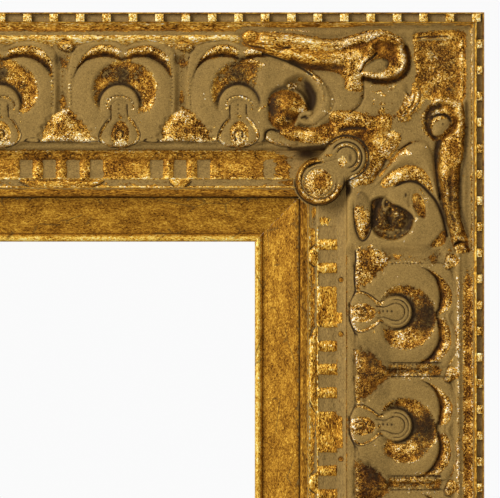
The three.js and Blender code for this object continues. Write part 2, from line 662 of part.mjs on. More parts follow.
// Ring wire: closed loop with a straight bar above and a half round below
const ringHalf = RING_INSIDE / 2 + WIRE_RADIUS;
const ringLoop = [
  ...roundOutline(0, -RING_SIDE, ringHalf, 9, -Math.PI, Math.PI),
  at(ringHalf, -WIRE_RADIUS), at(ringHalf - WIRE_RADIUS, 0),
  at(-ringHalf + WIRE_RADIUS, 0), at(-ringHalf, -WIRE_RADIUS),
];
function wireLoop(path, radius, around) {
  const spots = [];
  const faces = [];
  path.forEach((spot, i) => {
    const before = path[(i + path.length - 1) % path.length];
    const after = path[(i + 1) % path.length];
    const side = at(after.y - before.y, before.x - after.x).normalize();
    for (let k = 0; k < around; k += 1) {
      const angle = (2 * Math.PI * k) / around;
      const out = radius * Math.cos(angle);
      spots.push(spot.x + side.x * out, radius * Math.sin(angle), spot.y + side.y * out);
      const next = ((i + 1) % path.length) * around;
      const here = i * around;
      const turn = (k + 1) % around;
      faces.push(here + k, here + turn, next + k, next + k, here + turn, next + turn);
    }
  });
  const loop = new THREE.BufferGeometry();
  loop.setAttribute('position', new THREE.Float32BufferAttribute(spots, 3));
  loop.setIndex(faces);
  return loop;
}

for (const hand of HANGER_HANDS) {
  const x = hangerX(hand);
  const strap = mapped(prism(strapOutline, -STRAP_WIDTH / 2, STRAP_WIDTH / 2), (up, out, across) => {
    return [x + across, strapBack + out, HANGER_Z + up];
  });
  const holes = HANGER_SCREWS.map((drop) => {
    const [low, high] = [strapBack - BITE, strapBack + STRAP_THICK + BITE];
    return rod(x, HANGER_Z - drop, SCREW_RADIUS + SCREW_PLAY, low, high, 8);
  });
  addPiece(`hanger_strap_${hand.name}`, toGeometry(cutAway(toSolid(strap), holes)), BRASSED);
  const ring = mapped(wireLoop(ringLoop, WIRE_RADIUS, 6), (across, out, up) => {
    return [x + across, ringY + out, HANGER_Z + up];
  });
  addPiece(`hanger_ring_${hand.name}`, ring, BRASSED);
  HANGER_SCREWS.forEach((drop, i) => {
    const name = `hanger_screw_${hand.name}_${i + 1}`;
    addPiece(name, screw(x, HANGER_Z - drop, strapBack + STRAP_THICK + SEAT_GAP), BRASSED);
  });
}

// Turn buttons: flat plates with round ends, at rest along the liner bar
const buttonEnd = BUTTON_WIDTH / 2;
const buttonOutline = [
  ...roundOutline(0, 0, buttonEnd, 6, Math.PI / 2, Math.PI),
  ...roundOutline(BUTTON_REACH - buttonEnd, 0, buttonEnd, 6, -Math.PI / 2, Math.PI),
];
for (const side of SIDES) {
  const [x, , z] = buttonPivot(side);
  const hole = roundOutline(0, 0, SCREW_RADIUS + SCREW_PLAY, 8);
  const low = -SEAT_GAP - BUTTON_THICK;
  const plateShape = prism(buttonOutline, low, -SEAT_GAP, 0, [hole]);
  const place = (along, inward, height) => onSide(side, along, BUTTON_LINE + inward, height);
  const button = mapped(plateShape, place);
  addPiece(`turn_button_${side.name}`, button, STEEL);
  addPiece(`turn_button_screw_${side.name}`, screw(x, z, BACK_Y + 2 * SEAT_GAP + BUTTON_THICK), STEEL);
}

// Wall bumpers at the lower corners; their backs are the wall plane
for (const hand of HANGER_HANDS) {
  const x = hand.x * (OUTER_WIDTH / 2 - BUMPER_INSET);
  const z = HANGER_INSET - OUTER_HEIGHT / 2;
  addPiece(`wall_bumper_${hand.name}`, rod(x, z, BUMPER_RADIUS, -BUMPER_HEIGHT, 0, 20), BUMPER_GREY);
}

export default frame;
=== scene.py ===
# %% [markdown]
# # Baroque frame
#
# A gilded composition frame: four mitred rails carry runs of shells, a fluted frieze, a row of
# beads on the outer lip and a cast ornament over each mitre. A plain gilded liner sits inside.
# The CAD solids are the fixed frame of this scene. Each visible casting is rebuilt here as a
# carved sheet, in metres, on the same spot as its solid.

import math

import bpy
import numpy as np
from mathutils import Matrix, Vector


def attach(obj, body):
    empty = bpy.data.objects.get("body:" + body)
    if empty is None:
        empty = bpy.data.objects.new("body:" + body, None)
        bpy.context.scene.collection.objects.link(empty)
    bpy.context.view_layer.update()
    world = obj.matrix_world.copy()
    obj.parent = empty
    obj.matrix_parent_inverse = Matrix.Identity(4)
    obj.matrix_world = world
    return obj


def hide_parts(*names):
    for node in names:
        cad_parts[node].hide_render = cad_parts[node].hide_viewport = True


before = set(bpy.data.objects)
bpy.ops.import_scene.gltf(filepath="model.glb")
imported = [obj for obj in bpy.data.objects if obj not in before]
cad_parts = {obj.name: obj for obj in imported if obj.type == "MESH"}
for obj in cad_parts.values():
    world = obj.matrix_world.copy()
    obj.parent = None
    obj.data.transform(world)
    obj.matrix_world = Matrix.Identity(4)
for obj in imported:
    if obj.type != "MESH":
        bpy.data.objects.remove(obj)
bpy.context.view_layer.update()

MM = 0.001
UNIT = 0.5336 * MM
FRAME_WIDTH = 0.6418
FRAME_HEIGHT = 0.7434
RAIL_BACK = -0.0062
EDGE_ROW = 12.5
EDGE_COLUMN = 484.0

# %% [markdown]
# ## The four sides and four corners
#
# Every moulding is drawn lying flat: X runs along the rail, Y points out of the frame, Z is the
# height above the rail's back. One matrix per side stands the drawing up on its rail, so a shape
# that is drawn once fits all four. Rows of the drawing are counted in units of 0.5336 mm, and the
# outer edge of the frame is row 12.5.

# %% Sides and corners
FRONT = Vector((0, -1, 0))


def stand(along, out, reach):
    turn = Matrix((along, out, FRONT)).transposed().to_4x4()
    return Matrix.Translation(out * reach + Vector((0, RAIL_BACK, 0))) @ turn


RIGHTWARD, UPWARD = Vector((1, 0, 0)), Vector((0, 0, 1))
SIDES = {
    "top": stand(RIGHTWARD, UPWARD, FRAME_HEIGHT / 2),
    "right": stand(-UPWARD, RIGHTWARD, FRAME_WIDTH / 2),
    "bottom": stand(-RIGHTWARD, -UPWARD, FRAME_HEIGHT / 2),
    "left": stand(UPWARD, -RIGHTWARD, FRAME_WIDTH / 2),
}
HALF = {
    "top": FRAME_WIDTH / 2 / UNIT, "bottom": FRAME_WIDTH / 2 / UNIT,
    "right": FRAME_HEIGHT / 2 / UNIT, "left": FRAME_HEIGHT / 2 / UNIT,
}
UPRIGHTS = ("right", "left")
# Keys for what differs between level rails and uprights
LEVEL, UPRIGHT = False, True
CORNERS = {"top_right": (1, 1), "bottom_right": (1, -1), "bottom_left": (-1, -1), "top_left": (-1, 1)}
print("half lengths in drawing units:", {name: round(value, 1) for name, value in HALF.items()})

# %% [markdown]
# ## Carving tools
#
# The castings are low reliefs, so each is a height above a flat sheet. It could be sculpted by hand
# or pushed up by a texture. Here every lobe, roll and groove is a small function of the distance to
# a drawn curve, because distances give soft carved edges and the shape stays editable by its points.
# Four finish maps grow with the height: gold, where leaf is bare; dark, where old glaze is left and
# where shade is painted; shine, where the leaf is rubbed bright and where highlights are painted, with
# painted shade below zero; and drawn, where its grain is pulled out along the rail.

# %% Carving tools


def smoothstep(low, high, value):
    share = np.clip((value - low) / (high - low), 0, 1)
    return share * share * (3 - 2 * share)


def soft(distance, width):
    return np.exp(-((distance / width) ** 2))


def window(value, low, full, hold, end):
    """1 from full to hold, with a soft fall to 0 at low and at end."""
    return smoothstep(low, full, value) * smoothstep(end, hold, value)


def glow(x, y, cx, cy, rx, ry, width=1.0):
    """Soft oval patch round a middle."""
    return soft(np.hypot((x - cx) / rx, (y - cy) / ry), width)


def shifted(path, dx, dy):
    return [(px + dx, py + dy) for px, py in path]


LEAF = {"gold": 1.0, "dark": 0.0}
GLAZE = {"gold": 0.0, "dark": 0.0}


def gilt(shine):
    """Clean leaf, rubbed bright and given a painted highlight by that share; a share below zero paints shade.
    """
    return {**LEAF, "shine": shine}


def curve(points, per=8, closed=False):
    """Points of a smooth curve through the given ones."""
    p = np.asarray(points, float)
    n = len(p)
    share = np.linspace(0, 1, per, endpoint=False)[:, None]
    out = []
    for i in range(n if closed else n - 1):
        a = p[(i - 1) % n] if closed or i > 0 else 2 * p[0] - p[1]
        b, c = p[i], p[(i + 1) % n]
        d = p[(i + 2) % n] if closed or i + 2 < n else 2 * p[-1] - p[-2]
        bend = 2 * a - 5 * b + 4 * c - d
        out.append(0.5 * (2 * b + (c - a) * share + bend * share**2 + (3 * b - a - 3 * c + d) * share**3))
    if not closed:
        out.append(p[-1:])
    return np.concatenate(out)


def line_distance(x, y, path):
    """Distance to a line of points, and the share of its length at the nearest spot."""
    best = np.full(x.shape, 1e9)
    share = np.zeros(x.shape)
    steps = np.hypot(*np.diff(path, axis=0).T)
    run = 0.0
    for (ax, ay), (bx, by), length in zip(path[:-1], path[1:], steps):
        ux, uy = (bx - ax) / length, (by - ay) / length
        t = np.clip((x - ax) * ux + (y - ay) * uy, 0, length)
        gap = np.hypot(x - ax - t * ux, y - ay - t * uy)
        hit = gap < best
        best[hit] = gap[hit]
        share[hit] = (run + t[hit]) / steps.sum()
        run += length
    return best, share


def inside_distance(x, y, path):
    """Distance to a closed outline, positive inside it."""
    loop = np.vstack([path, path[:1]])
    gap, _ = line_distance(x, y, loop)
    odd = np.zeros(x.shape, bool)
    for (ax, ay), (bx, by) in zip(loop[:-1], loop[1:]):
        if ay != by:
            odd ^= ((ay > y) != (by > y)) & (x < (bx - ax) * (y - ay) / (by - ay) + ax)
    return np.where(odd, gap, -gap)


def roughness_field(shape, cell, rng):
    """Smooth random heights between -1 and 1, with bumps of about that many grid cells."""
    total = np.zeros(shape)
    for size, amount in ((cell, 0.67), (max(cell / 2, 1), 0.33)):
        spots = rng.uniform(-1, 1, (int(shape[0] / size) + 3, int(shape[1] / size) + 3))
        rows, columns = np.arange(shape[0]) / size, np.arange(shape[1]) / size
        r, c = rows.astype(int), columns.astype(int)
        fr, fc = (rows - r)[:, None], (columns - c)[None, :]
        fr, fc = fr * fr * (3 - 2 * fr), fc * fc * (3 - 2 * fc)
        upper = spots[r][:, c] * (1 - fc) + spots[r][:, c + 1] * fc
        lower = spots[r + 1][:, c] * (1 - fc) + spots[r + 1][:, c + 1] * fc
        total += amount * (upper * (1 - fr) + lower * fr)
    return total


def smeared(heights, cells):
    """Heights averaged over a square of that many cells, twice, for a soft result."""
    out = heights
    for axis in (0, 1, 0, 1):
        pads = [(0, 0), (0, 0)]
        pads[axis] = (cells + 1, cells)
        total = np.cumsum(np.pad(out, pads, mode="edge"), axis)
        width = 2 * cells + 1
        count = out.shape[axis]
        out = (np.take(total, range(width, width + count), axis) - np.take(total, range(count), axis)) / width
    return out


class Relief:
    """A carved sheet: heights in millimetres and four finish maps, on one grid of drawing units."""

    MAPS = ("h", "gold", "dark", "shine", "drawn")

    def __init__(self, x, y, heights):
        self.x, self.y, self.h = x, y, heights.copy()
        self.gold, self.dark, self.shine, self.drawn = (np.zeros(x.shape) for _ in range(4))
        self.ground = 0.0

    def rubbed_and_lit(self):
        """How far each spot stands out of its surroundings, plus the shine map: 1 on rubbed crests and painted
        highlights, 0 in hollows, which come out darker as wear and painted shade.
        """
        level = np.maximum(self.h, self.ground)
        return np.clip(0.5 + 0.30 * (level - smeared(level, 5)) + 0.75 * self.shine, 0, 1)

    def blend_in(self, other, share):
        for key in self.MAPS:
            setattr(self, key, getattr(self, key) + (getattr(other, key) - getattr(self, key)) * share)

    def paint(self, mask, gold=None, dark=None, shine=None):
        for key, value in (("gold", gold), ("dark", dark), ("shine", shine)):
            if value is not None:
                setattr(self, key, getattr(self, key) + (value - getattr(self, key)) * mask)

    def cut(self, mask, depth, **finish):
        """Sinks the masked part by a depth and paints it."""
        self.h -= depth * mask
        self.paint(mask, **finish)

    def raise_to(self, top, mask, over=True):
        """Moves the masked part to a new top; without over it never sinks."""
        moved = self.h + (top - self.h) * mask
        self.h = moved if over else np.maximum(self.h, moved)

    def lobe(self, outline, level, edge=3.0, crown=0.0, reach=12.0, **finish):
        """Cushion inside a smooth outline, its top swelling towards the middle."""
        d = inside_distance(self.x, self.y, curve(outline, 6, True))
        mask = smoothstep(-edge / 2, edge / 2, d)
        self.raise_to(level + crown * np.sin(np.clip(d / reach, 0, 1) * np.pi / 2), mask)
        self.paint(mask, **finish)
        return d

    def roll(self, points, width, level, rise=2.0, edge=1.0, taper=(1.0, 1.0), **finish):
        """Rounded band along a curve."""
        d, t = line_distance(self.x, self.y, curve(points))
        w = width * (taper[0] + (taper[1] - taper[0]) * t)
        q = np.clip(d / w, 0, 1)
        mask = smoothstep(edge, 0, d - w)
        self.raise_to(level + rise * np.sqrt(1 - q * q), mask, over=False)
        self.paint(mask, **finish)

    def groove(self, points, width, depth, stain_and_shade=None, taper=(1.0, 1.0), **finish):
        """Soft line cut along a curve; a stain-and-shade width, if given, is the width of its colour."""
        d, t = line_distance(self.x, self.y, curve(points))
        w = width * (taper[0] + (taper[1] - taper[0]) * t)
        self.h -= depth * soft(d, w)
        self.paint(soft(d, stain_and_shade or w), **finish)

    def dome(self, cx, cy, rx, ry, level, rise, turn=0.0, edge=1.5, power=0.5, **finish):
        q = self.oval(cx, cy, rx, ry, turn)
        mask = smoothstep(1 + edge / min(rx, ry), 1, q)
        self.raise_to(level + rise * np.clip(1 - q * q, 0, 1) ** power, mask)
        self.paint(mask, **finish)

    def oval(self, cx, cy, rx, ry, turn=0.0):
        c, s = math.cos(turn), math.sin(turn)
        u = ((self.x - cx) * c + (self.y - cy) * s) / rx
        v = (-(self.x - cx) * s + (self.y - cy) * c) / ry
        return np.hypot(u, v)

    def spot(self, cx, cy, rx, ry, amount, **finish):
        self.paint(amount * glow(self.x, self.y, cx, cy, rx, ry), **finish)


print("carving tools ready")

# %% [markdown]
# ## From a sheet to a solid casting
#
# A height sheet alone is an open skin. Each casting gets walls and an underside, so that it is a
# closed body with faces pointing outwards. The finish maps ride along as point attributes, which
# the materials read, and edges sharper than about 60 degrees are kept crisp.

# %% Sheets to solids
CRISP_ANGLE = math.radians(60)


def make_mesh(name, spots, quads, rings=(), **maps):
    mesh = bpy.data.meshes.new(name)
    corners = np.concatenate([np.asarray(quads, np.int32).ravel()] + [np.asarray(r, np.int32) for r in rings])
    sizes = np.concatenate([np.full(len(quads), 4, np.int32), np.array([len(r) for r in rings], np.int32)])
    mesh.vertices.add(len(spots))
    mesh.vertices.foreach_set("co", np.asarray(spots, np.float32).ravel())
    mesh.loops.add(len(corners))
    mesh.loops.foreach_set("vertex_index", corners)
    mesh.polygons.add(len(sizes))
    mesh.polygons.foreach_set("loop_start", np.concatenate([[0], np.cumsum(sizes)[:-1]]).astype(np.int32))
    mesh.update(calc_edges=True)
    mesh.validate()
    mesh.shade_smooth()
    mesh.set_sharp_from_angle(angle=CRISP_ANGLE)
    for key, values in maps.items():
        layer = mesh.attributes.new(key, "FLOAT", "POINT")
        layer.data.foreach_set("value", np.clip(values, 0, 1).astype(np.float32))
    return mesh


def lay(x, y, heights):
    """Drawing units and millimetres to metres on the flat drawing."""
    return np.stack([x * UNIT, (EDGE_ROW - y) * UNIT, heights * MM], -1)


HIDDEN_FINISH = {"gold": 0.0, "dark": 0.5, "rub": 0.5, "drawn": 0.0}


def finish_maps(relief, hidden, used=slice(None)):
    """Finish of the used points of a sheet, followed by that of the hidden points under it."""
    shown = {"gold": relief.gold, "dark": relief.dark, "rub": relief.rubbed_and_lit(), "drawn": relief.drawn}
    return {key: np.append(shown[key].ravel()[used], np.full(hidden, HIDDEN_FINISH[key])) for key in shown}


def grid_cells(ids):
    return np.stack([ids[1:, :-1], ids[1:, 1:], ids[:-1, 1:], ids[:-1, :-1]], -1)


def closed_strip(name, relief, floor, first_cap=True, last_cap=True):
    """Solid under a rectangular sheet; an end without a cap is left open to join its neighbour."""
    rows, columns = relief.h.shape
    ids = np.arange(rows * columns).reshape(rows, columns)
    base = np.full(columns, float(floor))
    low = [lay(relief.x[r], relief.y[r], base) for r in (0, -1)]
    outer = rows * columns + np.arange(columns)
    inner = outer + columns
    quads = [
        grid_cells(ids).reshape(-1, 4),
        np.stack([inner[:-1], inner[1:], ids[-1, 1:], ids[-1, :-1]], -1),
        np.stack([outer[1:], outer[:-1], ids[0, :-1], ids[0, 1:]], -1),
        np.stack([outer[:-1], outer[1:], inner[1:], inner[:-1]], -1),
    ]
    rings = []
    if first_cap:
        rings.append([outer[0], inner[0], *ids[::-1, 0]])
    if last_cap:
        rings.append([inner[-1], outer[-1], *ids[:, -1]])
    spots = np.concatenate([lay(relief.x, relief.y, relief.h).reshape(-1, 3), *low])
    return make_mesh(name, spots, np.concatenate(quads), rings, **finish_maps(relief, 2 * columns))


def closed_patch(name, relief, keep, floor):
    """Solid under the kept points of a sheet, whose outline may have any shape without holes."""
    rows, columns = relief.h.shape
    ids = np.arange(rows * columns).reshape(rows, columns)
    cells = grid_cells(ids)[keep[:-1, :-1] & keep[1:, :-1] & keep[:-1, 1:] & keep[1:, 1:]]
    sides = np.concatenate([cells[:, [k, (k + 1) % 4]] for k in range(4)])
    known = {(a, b) for a, b in sides.tolist()}
    border = {a: b for a, b in known if (b, a) not in known}
    first = next(iter(border))
    loop = [first]
    while border[loop[-1]] != first:
        loop.append(border[loop[-1]])
    used = np.unique(cells)
    place = np.full(rows * columns, -1)
    place[used] = np.arange(len(used))
    top = lay(relief.x, relief.y, relief.h).reshape(-1, 3)[used]
    low = lay(relief.x.ravel()[loop], relief.y.ravel()[loop], np.full(len(loop), float(floor)))
    under = len(used) + np.arange(len(loop))
    rim = place[loop]
    walls = np.stack([under, np.roll(under, -1), np.roll(rim, -1), rim], -1)
    quads = np.concatenate([place[cells], walls])
    maps = finish_maps(relief, len(loop), used)
    return make_mesh(name, np.concatenate([top, low]), quads, [under[::-1]], **maps)


print("sheet tools ready")

# %% [markdown]
# ## Finish group
#
# The whole frame was gilded, toned with an olive glaze and rubbed back, so leaf, glaze and dark
# residue repeat on every casting in other amounts. The finish maps also carry painted highlights and
# painted shade. One shader group mixes them from the finish maps and several sizes of noise; each
# material then sets its own amounts. A painted image could give the same look from the front only;
# noise in object space holds on every side.

# %% Node helpers and the worn leaf group


def add_node(tree, kind, inputs=None, **settings):
    made = tree.nodes.new(kind)
    for key, value in settings.items():
        setattr(made, key, value)
    for key, value in (inputs or {}).items():
        if isinstance(value, bpy.types.NodeSocket):
            tree.links.new(value, made.inputs[key])
        else:
            made.inputs[key].default_value = value
    return made


def calc(tree, operation, a, b=0.0, clamp=False):
    return add_node(tree, "ShaderNodeMath", {0: a, 1: b}, operation=operation, use_clamp=clamp).outputs[0]


def total(tree, first, *others):
    for other in others:
        first = calc(tree, "ADD", first, other)
    return first


def times(tree, first, *others):
    for other in others:
        first = calc(tree, "MULTIPLY", first, other)
    return first


def tinted(tree, colour, share):
    made = add_node(tree, "ShaderNodeVectorMath", {0: colour, 1: share}, operation="MULTIPLY")
    return made.outputs[0]


def attribute(tree, name):
    return add_node(tree, "ShaderNodeAttribute", attribute_name=name).outputs["Fac"]


def blend(tree, share, a, b):
    made = add_node(tree, "ShaderNodeMix", {"Factor": share}, data_type="RGBA")
    for socket, value in ((made.inputs[6], a), (made.inputs[7], b)):
        if isinstance(value, bpy.types.NodeSocket):
            tree.links.new(value, socket)
        else:
            socket.default_value = (*value, 1)
    return made.outputs[2]


def ramp(tree, share, low, high):
    made = add_node(tree, "ShaderNodeMapRange", {0: share, 1: low, 2: high}, interpolation_type="SMOOTHSTEP")
    return made.outputs[0]


def grain(tree, place, scale, detail=2.0, rough=0.5, twist=0.0):
    inputs = {"Vector": place, "Scale": scale, "Detail": detail, "Roughness": rough, "Distortion": twist}
    return add_node(tree, "ShaderNodeTexNoise", inputs).outputs["Fac"]


def swing(tree, noise, amount):
    """A noise turned into a push of either sign."""
    return times(tree, calc(tree, "SUBTRACT", noise, 0.5), amount)


def colour_steps(tree, share, steps):
    made = add_node(tree, "ShaderNodeValToRGB", {0: share})
    stops = made.color_ramp.elements
    while len(stops) < len(steps):
        stops.new(0.5)
    for stop, (place, colour) in zip(stops, steps):
        stop.position = place
        stop.color = (*colour, 1)
    return made.outputs[0]


def new_group(name, inputs, outputs):
    tree = bpy.data.node_groups.new(name, "ShaderNodeTree")
    for label, kind, value in inputs:
        made = tree.interface.new_socket(name=label, in_out="INPUT", socket_type=kind)
        made.default_value = value
    for label, kind in outputs:
        tree.interface.new_socket(name=label, in_out="OUTPUT", socket_type=kind)
    return tree, tree.nodes.new("NodeGroupInput").outputs, tree.nodes.new("NodeGroupOutput")


FLOAT, COLOUR, VECTOR = "NodeSocketFloat", "NodeSocketColor", "NodeSocketVector"
LEAF_STEPS = (
    (0.28, (0.030, 0.0085, 0.001)), (0.41, (0.135, 0.044, 0.003)), (0.51, (0.330, 0.124, 0.009)),
    (0.61, (0.640, 0.285, 0.024)), (0.70, (0.95, 0.52, 0.062)), (0.82, (1.0, 0.74, 0.19)),
    (0.97, (1.0, 0.95, 0.68)),
)
# Near-black of dark residue and of painted shade
DARK_RESIDUE_AND_SHADE = (0.040, 0.021, 0.008)
LEAF_RIM = (0.10, 0.050, 0.014)

leaf_group, given, result = new_group(
    "Worn leaf over glaze",
    [
        ("Place", VECTOR, (0, 0, 0)), ("Gold", FLOAT, 1.0), ("Dark", FLOAT, 0.0),
        ("Glaze", COLOUR, (0.3, 0.19, 0.06, 1)), ("Rub", FLOAT, 0.5), ("Contrast", FLOAT, 1.0),
        ("Tone", FLOAT, 0.5), ("Hue", COLOUR, (1, 1, 1, 1)),
    ],
    [("Color", COLOUR), ("Leaf", FLOAT), ("Height", FLOAT)],
)
t = leaf_group
place, rub, contrast = given["Place"], given["Rub"], given["Contrast"]
# Noises, from the crumpled leaf and its sparks to clouds some centimetres wide
crumple = grain(t, place, 700.0, 4.0, 0.62, 0.8)
fine = grain(t, place, 1700.0, 2.0)
spark = grain(t, place, 1200.0, 2.0, 0.6, 1.6)
patch = grain(t, place, 190.0, 3.0)
cloud = grain(t, place, 60.0, 2.0)
vein = calc(t, "ABSOLUTE", calc(t, "SUBTRACT", grain(t, place, 640.0, 1.0, 0.5, 1.0), 0.5))
# Where the leaf still lies, with a ragged edge
leaf = ramp(t, total(t, given["Gold"], total(t, swing(t, crumple, 1.3), swing(t, patch, 0.9))), 0.44, 0.56)
# Tone of the leaf: crumpled foil, slow drift, wear with painted light and shade, painted glints, dark specks
foil = total(
    t, swing(t, ramp(t, vein, 0.11, 0.0), 0.24), total(t, swing(t, crumple, 0.4), swing(t, spark, 1.15)),
)
foil = times(t, foil, times(t, contrast, total(t, times(t, rub, 1.3), 0.22)))
drift = times(t, total(t, swing(t, cloud, 0.36), swing(t, patch, 0.50)), contrast)
wear_and_painted_light = total(t, drift, swing(t, rub, 0.31))
crest = times(t, ramp(t, rub, 0.25, 0.75), ramp(t, patch, 0.38, 0.60))
glint = times(t, ramp(t, grain(t, place, 1500.0, 1.0), 0.61, 0.70), crest)
hollow = times(t, ramp(t, rub, 0.2, 0.5), ramp(t, patch, 0.66, 0.44))
speck = times(t, ramp(t, grain(t, place, 1330.0, 1.0), 0.42, 0.33), hollow)
bits = times(t, calc(t, "SUBTRACT", times(t, glint, 0.46), times(t, speck, 0.36)), contrast)
gold_colour = tinted(t, colour_steps(t, total(t, foil, given["Tone"], wear_and_painted_light, bits), LEAF_STEPS), given["Hue"])
# The glaze under it, mottled, and lighter on crests and darker in hollows as painted light and shade
clouds = total(t, swing(t, cloud, 0.28), swing(t, patch, 0.36))
mottle_and_painted_light = total(t, clouds, total(t, swing(t, spark, 1.9), swing(t, rub, 0.6)))
mixed = blend(t, leaf, tinted(t, given["Glaze"], total(t, mottle_and_painted_light, 1.0)), gold_colour)
rim = times(t, leaf, calc(t, "SUBTRACT", 1.0, leaf))
mixed = blend(t, calc(t, "MULTIPLY", rim, 1.4, True), mixed, LEAF_RIM)
# Dark residue and painted shade over both
ragged = times(t, swing(t, crumple, 1.0), total(t, times(t, leaf, 0.75), 0.25))
stain_and_shade = ramp(t, total(t, given["Dark"], ragged), 0.25, 0.85)
foil_height = times(t, total(t, crumple, times(t, fine, 0.4)), leaf)
t.links.new(blend(t, stain_and_shade, mixed, DARK_RESIDUE_AND_SHADE), result.inputs["Color"])
t.links.new(times(t, leaf, calc(t, "SUBTRACT", 1.0, stain_and_shade)), result.inputs["Leaf"])
t.links.new(total(t, foil_height, times(t, fine, 0.12)), result.inputs["Height"])
print("finish group:", leaf_group.name, "with", len(t.nodes), "nodes")

# %% [markdown]
# ## Gilded materials
#
# Leaf is metal and glaze is a dull film, so the leaf map drives how metallic and how rough the
# surface is. The same recipe makes the toned castings, the brighter beads and the liner: only the
# base amounts differ.

# %% Gilded materials
WOOD_STEPS = (
    (0.34, (0.20, 0.105, 0.040)), (0.46, (0.36, 0.215, 0.095)),
    (0.54, (0.45, 0.285, 0.140)), (0.66, (0.54, 0.365, 0.200)),
)
CRACK_BROWN = (0.050, 0.034, 0.014)
LEAF_METAL, GLAZE_ROUGH, LEAF_SMOOTHER = 0.4, 0.60, -0.24
GLOSS, FOIL_DEPTH = 0.06, 0.8 * MM


def stretched(tree, place, scale):
    return add_node(tree, "ShaderNodeMapping", {"Vector": place, "Scale": scale}).outputs[0]


def bare_wood(tree, place, colour, leaf):
    """Bare wood with long fibres where the mouldings were never gilded."""
    edge_of_paint = swing(tree, grain(tree, place, 260.0, 3.0), 0.3)
    bare = ramp(tree, total(tree, attribute(tree, "wood"), edge_of_paint), 0.46, 0.54)
    long_way = stretched(tree, place, (0.14, 1, 1))
    fibre = times(tree, grain(tree, long_way, 520.0, 5.0, 0.6, 0.4), 0.6)
    board = times(tree, grain(tree, long_way, 70.0, 3.0, 0.5, 0.8), 0.4)
    wood = colour_steps(tree, total(tree, fibre, board), WOOD_STEPS)
    return blend(tree, bare, colour, wood), times(tree, leaf, calc(tree, "SUBTRACT", 1.0, bare))


def cracked(tree, place, colour, amount):
    """Fine cracks of old gesso, in patches."""
    cells = add_node(tree, "ShaderNodeTexVoronoi", {"Vector": place, "Scale": 75.0}, feature="DISTANCE_TO_EDGE")
    line = ramp(tree, cells.outputs["Distance"], 0.030, 0.008)
    shown = times(tree, ramp(tree, grain(tree, place, 110.0), 0.50, 0.58), amount)
    return blend(tree, times(tree, line, shown), colour, CRACK_BROWN)


def gilding(
    name, glaze, contrast=1.0, tone=0.51, relief=0.6, drawn_out=None, along=None, calm=0.0, lift=0.0,
    hue=(1, 1, 1), crackle=0.0,
):
    """Gilded finish; drawn_out stretches the grain along a moulding's own UV, along does so in space."""
    made = bpy.data.materials.new(name)
    made.use_nodes = True
    tree = made.node_tree
    shader = tree.nodes["Principled BSDF"]
    place = add_node(tree, "ShaderNodeTexCoord").outputs["UV" if drawn_out else "Object"]
    if drawn_out:
        place = stretched(tree, place, (1 / drawn_out, 1, 1))
    elif along:
        drawn = attribute(tree, "drawn")
        mixed_place = add_node(tree, "ShaderNodeMix", {0: drawn}, data_type="VECTOR")
        tree.links.new(place, mixed_place.inputs[4])
        tree.links.new(stretched(tree, place, along), mixed_place.inputs[5])
        place = mixed_place.outputs[1]
        contrast = times(tree, calc(tree, "SUBTRACT", 1.0, times(tree, drawn, calm)), contrast)
        tone = total(tree, times(tree, drawn, lift), tone)
    inputs = {label: attribute(tree, label.lower()) for label in ("Gold", "Dark", "Rub")}
    inputs |= {"Place": place, "Glaze": (*glaze, 1), "Contrast": contrast, "Tone": tone, "Hue": (*hue, 1)}
    mixed = add_node(tree, "ShaderNodeGroup", inputs, node_tree=leaf_group)
    colour, leaf = mixed.outputs["Color"], mixed.outputs["Leaf"]
    if drawn_out:
        colour, leaf = bare_wood(tree, place, colour, leaf)
    if crackle:
        colour = cracked(tree, place, colour, crackle)
    tree.links.new(colour, shader.inputs["Base Color"])
    tree.links.new(times(tree, leaf, LEAF_METAL), shader.inputs["Metallic"])
    tree.links.new(total(tree, times(tree, leaf, LEAF_SMOOTHER), GLAZE_ROUGH), shader.inputs["Roughness"])
    shader.inputs["Specular IOR Level"].default_value = GLOSS
    foil = {"Height": mixed.outputs["Height"], "Strength": relief, "Distance": FOIL_DEPTH}
    tree.links.new(add_node(tree, "ShaderNodeBump", foil).outputs[0], shader.inputs["Normal"])
    return made


OLIVE = (0.315, 0.192, 0.054)
# The upright copies have other tones than the level ones; part of the difference is painted light and shade,
# for the uprights face the lamp another way.
shell_gold = {
    LEVEL: gilding("toned gilding", OLIVE, along=(0.16, 1, 1), calm=0.58, lift=0.035, hue=(1, 1.07, 1.35)),
    UPRIGHT: gilding(
        "upright toned gilding", OLIVE, along=(1, 1, 0.16), calm=0.55, lift=0.01, hue=(1, 1.05, 1.4),
    ),
}
frieze_gold = {
    LEVEL: gilding(
        "frieze gilding", (0.345, 0.212, 0.062), tone=0.528, along=(0.55, 1, 1), calm=0.42, hue=(1, 1.08, 1.35),
    ),
    UPRIGHT: gilding(
        "upright frieze gilding", (0.33, 0.205, 0.062), tone=0.578, along=(1, 1, 0.4), calm=0.35,
        hue=(0.98, 1.04, 1.15),
    ),
}
BEAD_HUE = (1, 0.98, 0.82)
bead_gold = {
    LEVEL: gilding("bead gilding", (0.37, 0.23, 0.078), tone=0.585, contrast=0.8, hue=BEAD_HUE),
    UPRIGHT: gilding("upright bead gilding", (0.40, 0.25, 0.085), tone=0.53, hue=BEAD_HUE),
}
corner_gold = gilding(
    "corner gilding", OLIVE, tone=0.525, along=(0.25, 1, 1), calm=0.5, lift=0.015, hue=(1, 1.04, 1.25),
)
rail_gold = gilding(
    "rail gilding", (0.30, 0.175, 0.045), contrast=0.4, tone=0.524, relief=0.3, drawn_out=3.5,
    hue=(0.98, 1.08, 1.3), crackle=0.25,
)
liner_gold = gilding(
    "liner gilding", (0.30, 0.17, 0.04), contrast=0.36, tone=0.53, relief=0.15, drawn_out=2.0,
    hue=(0.98, 1.1, 1.3), crackle=0.5,
)
print("gilded materials:", [made.name for made in bpy.data.materials if "gilding" in made.name])

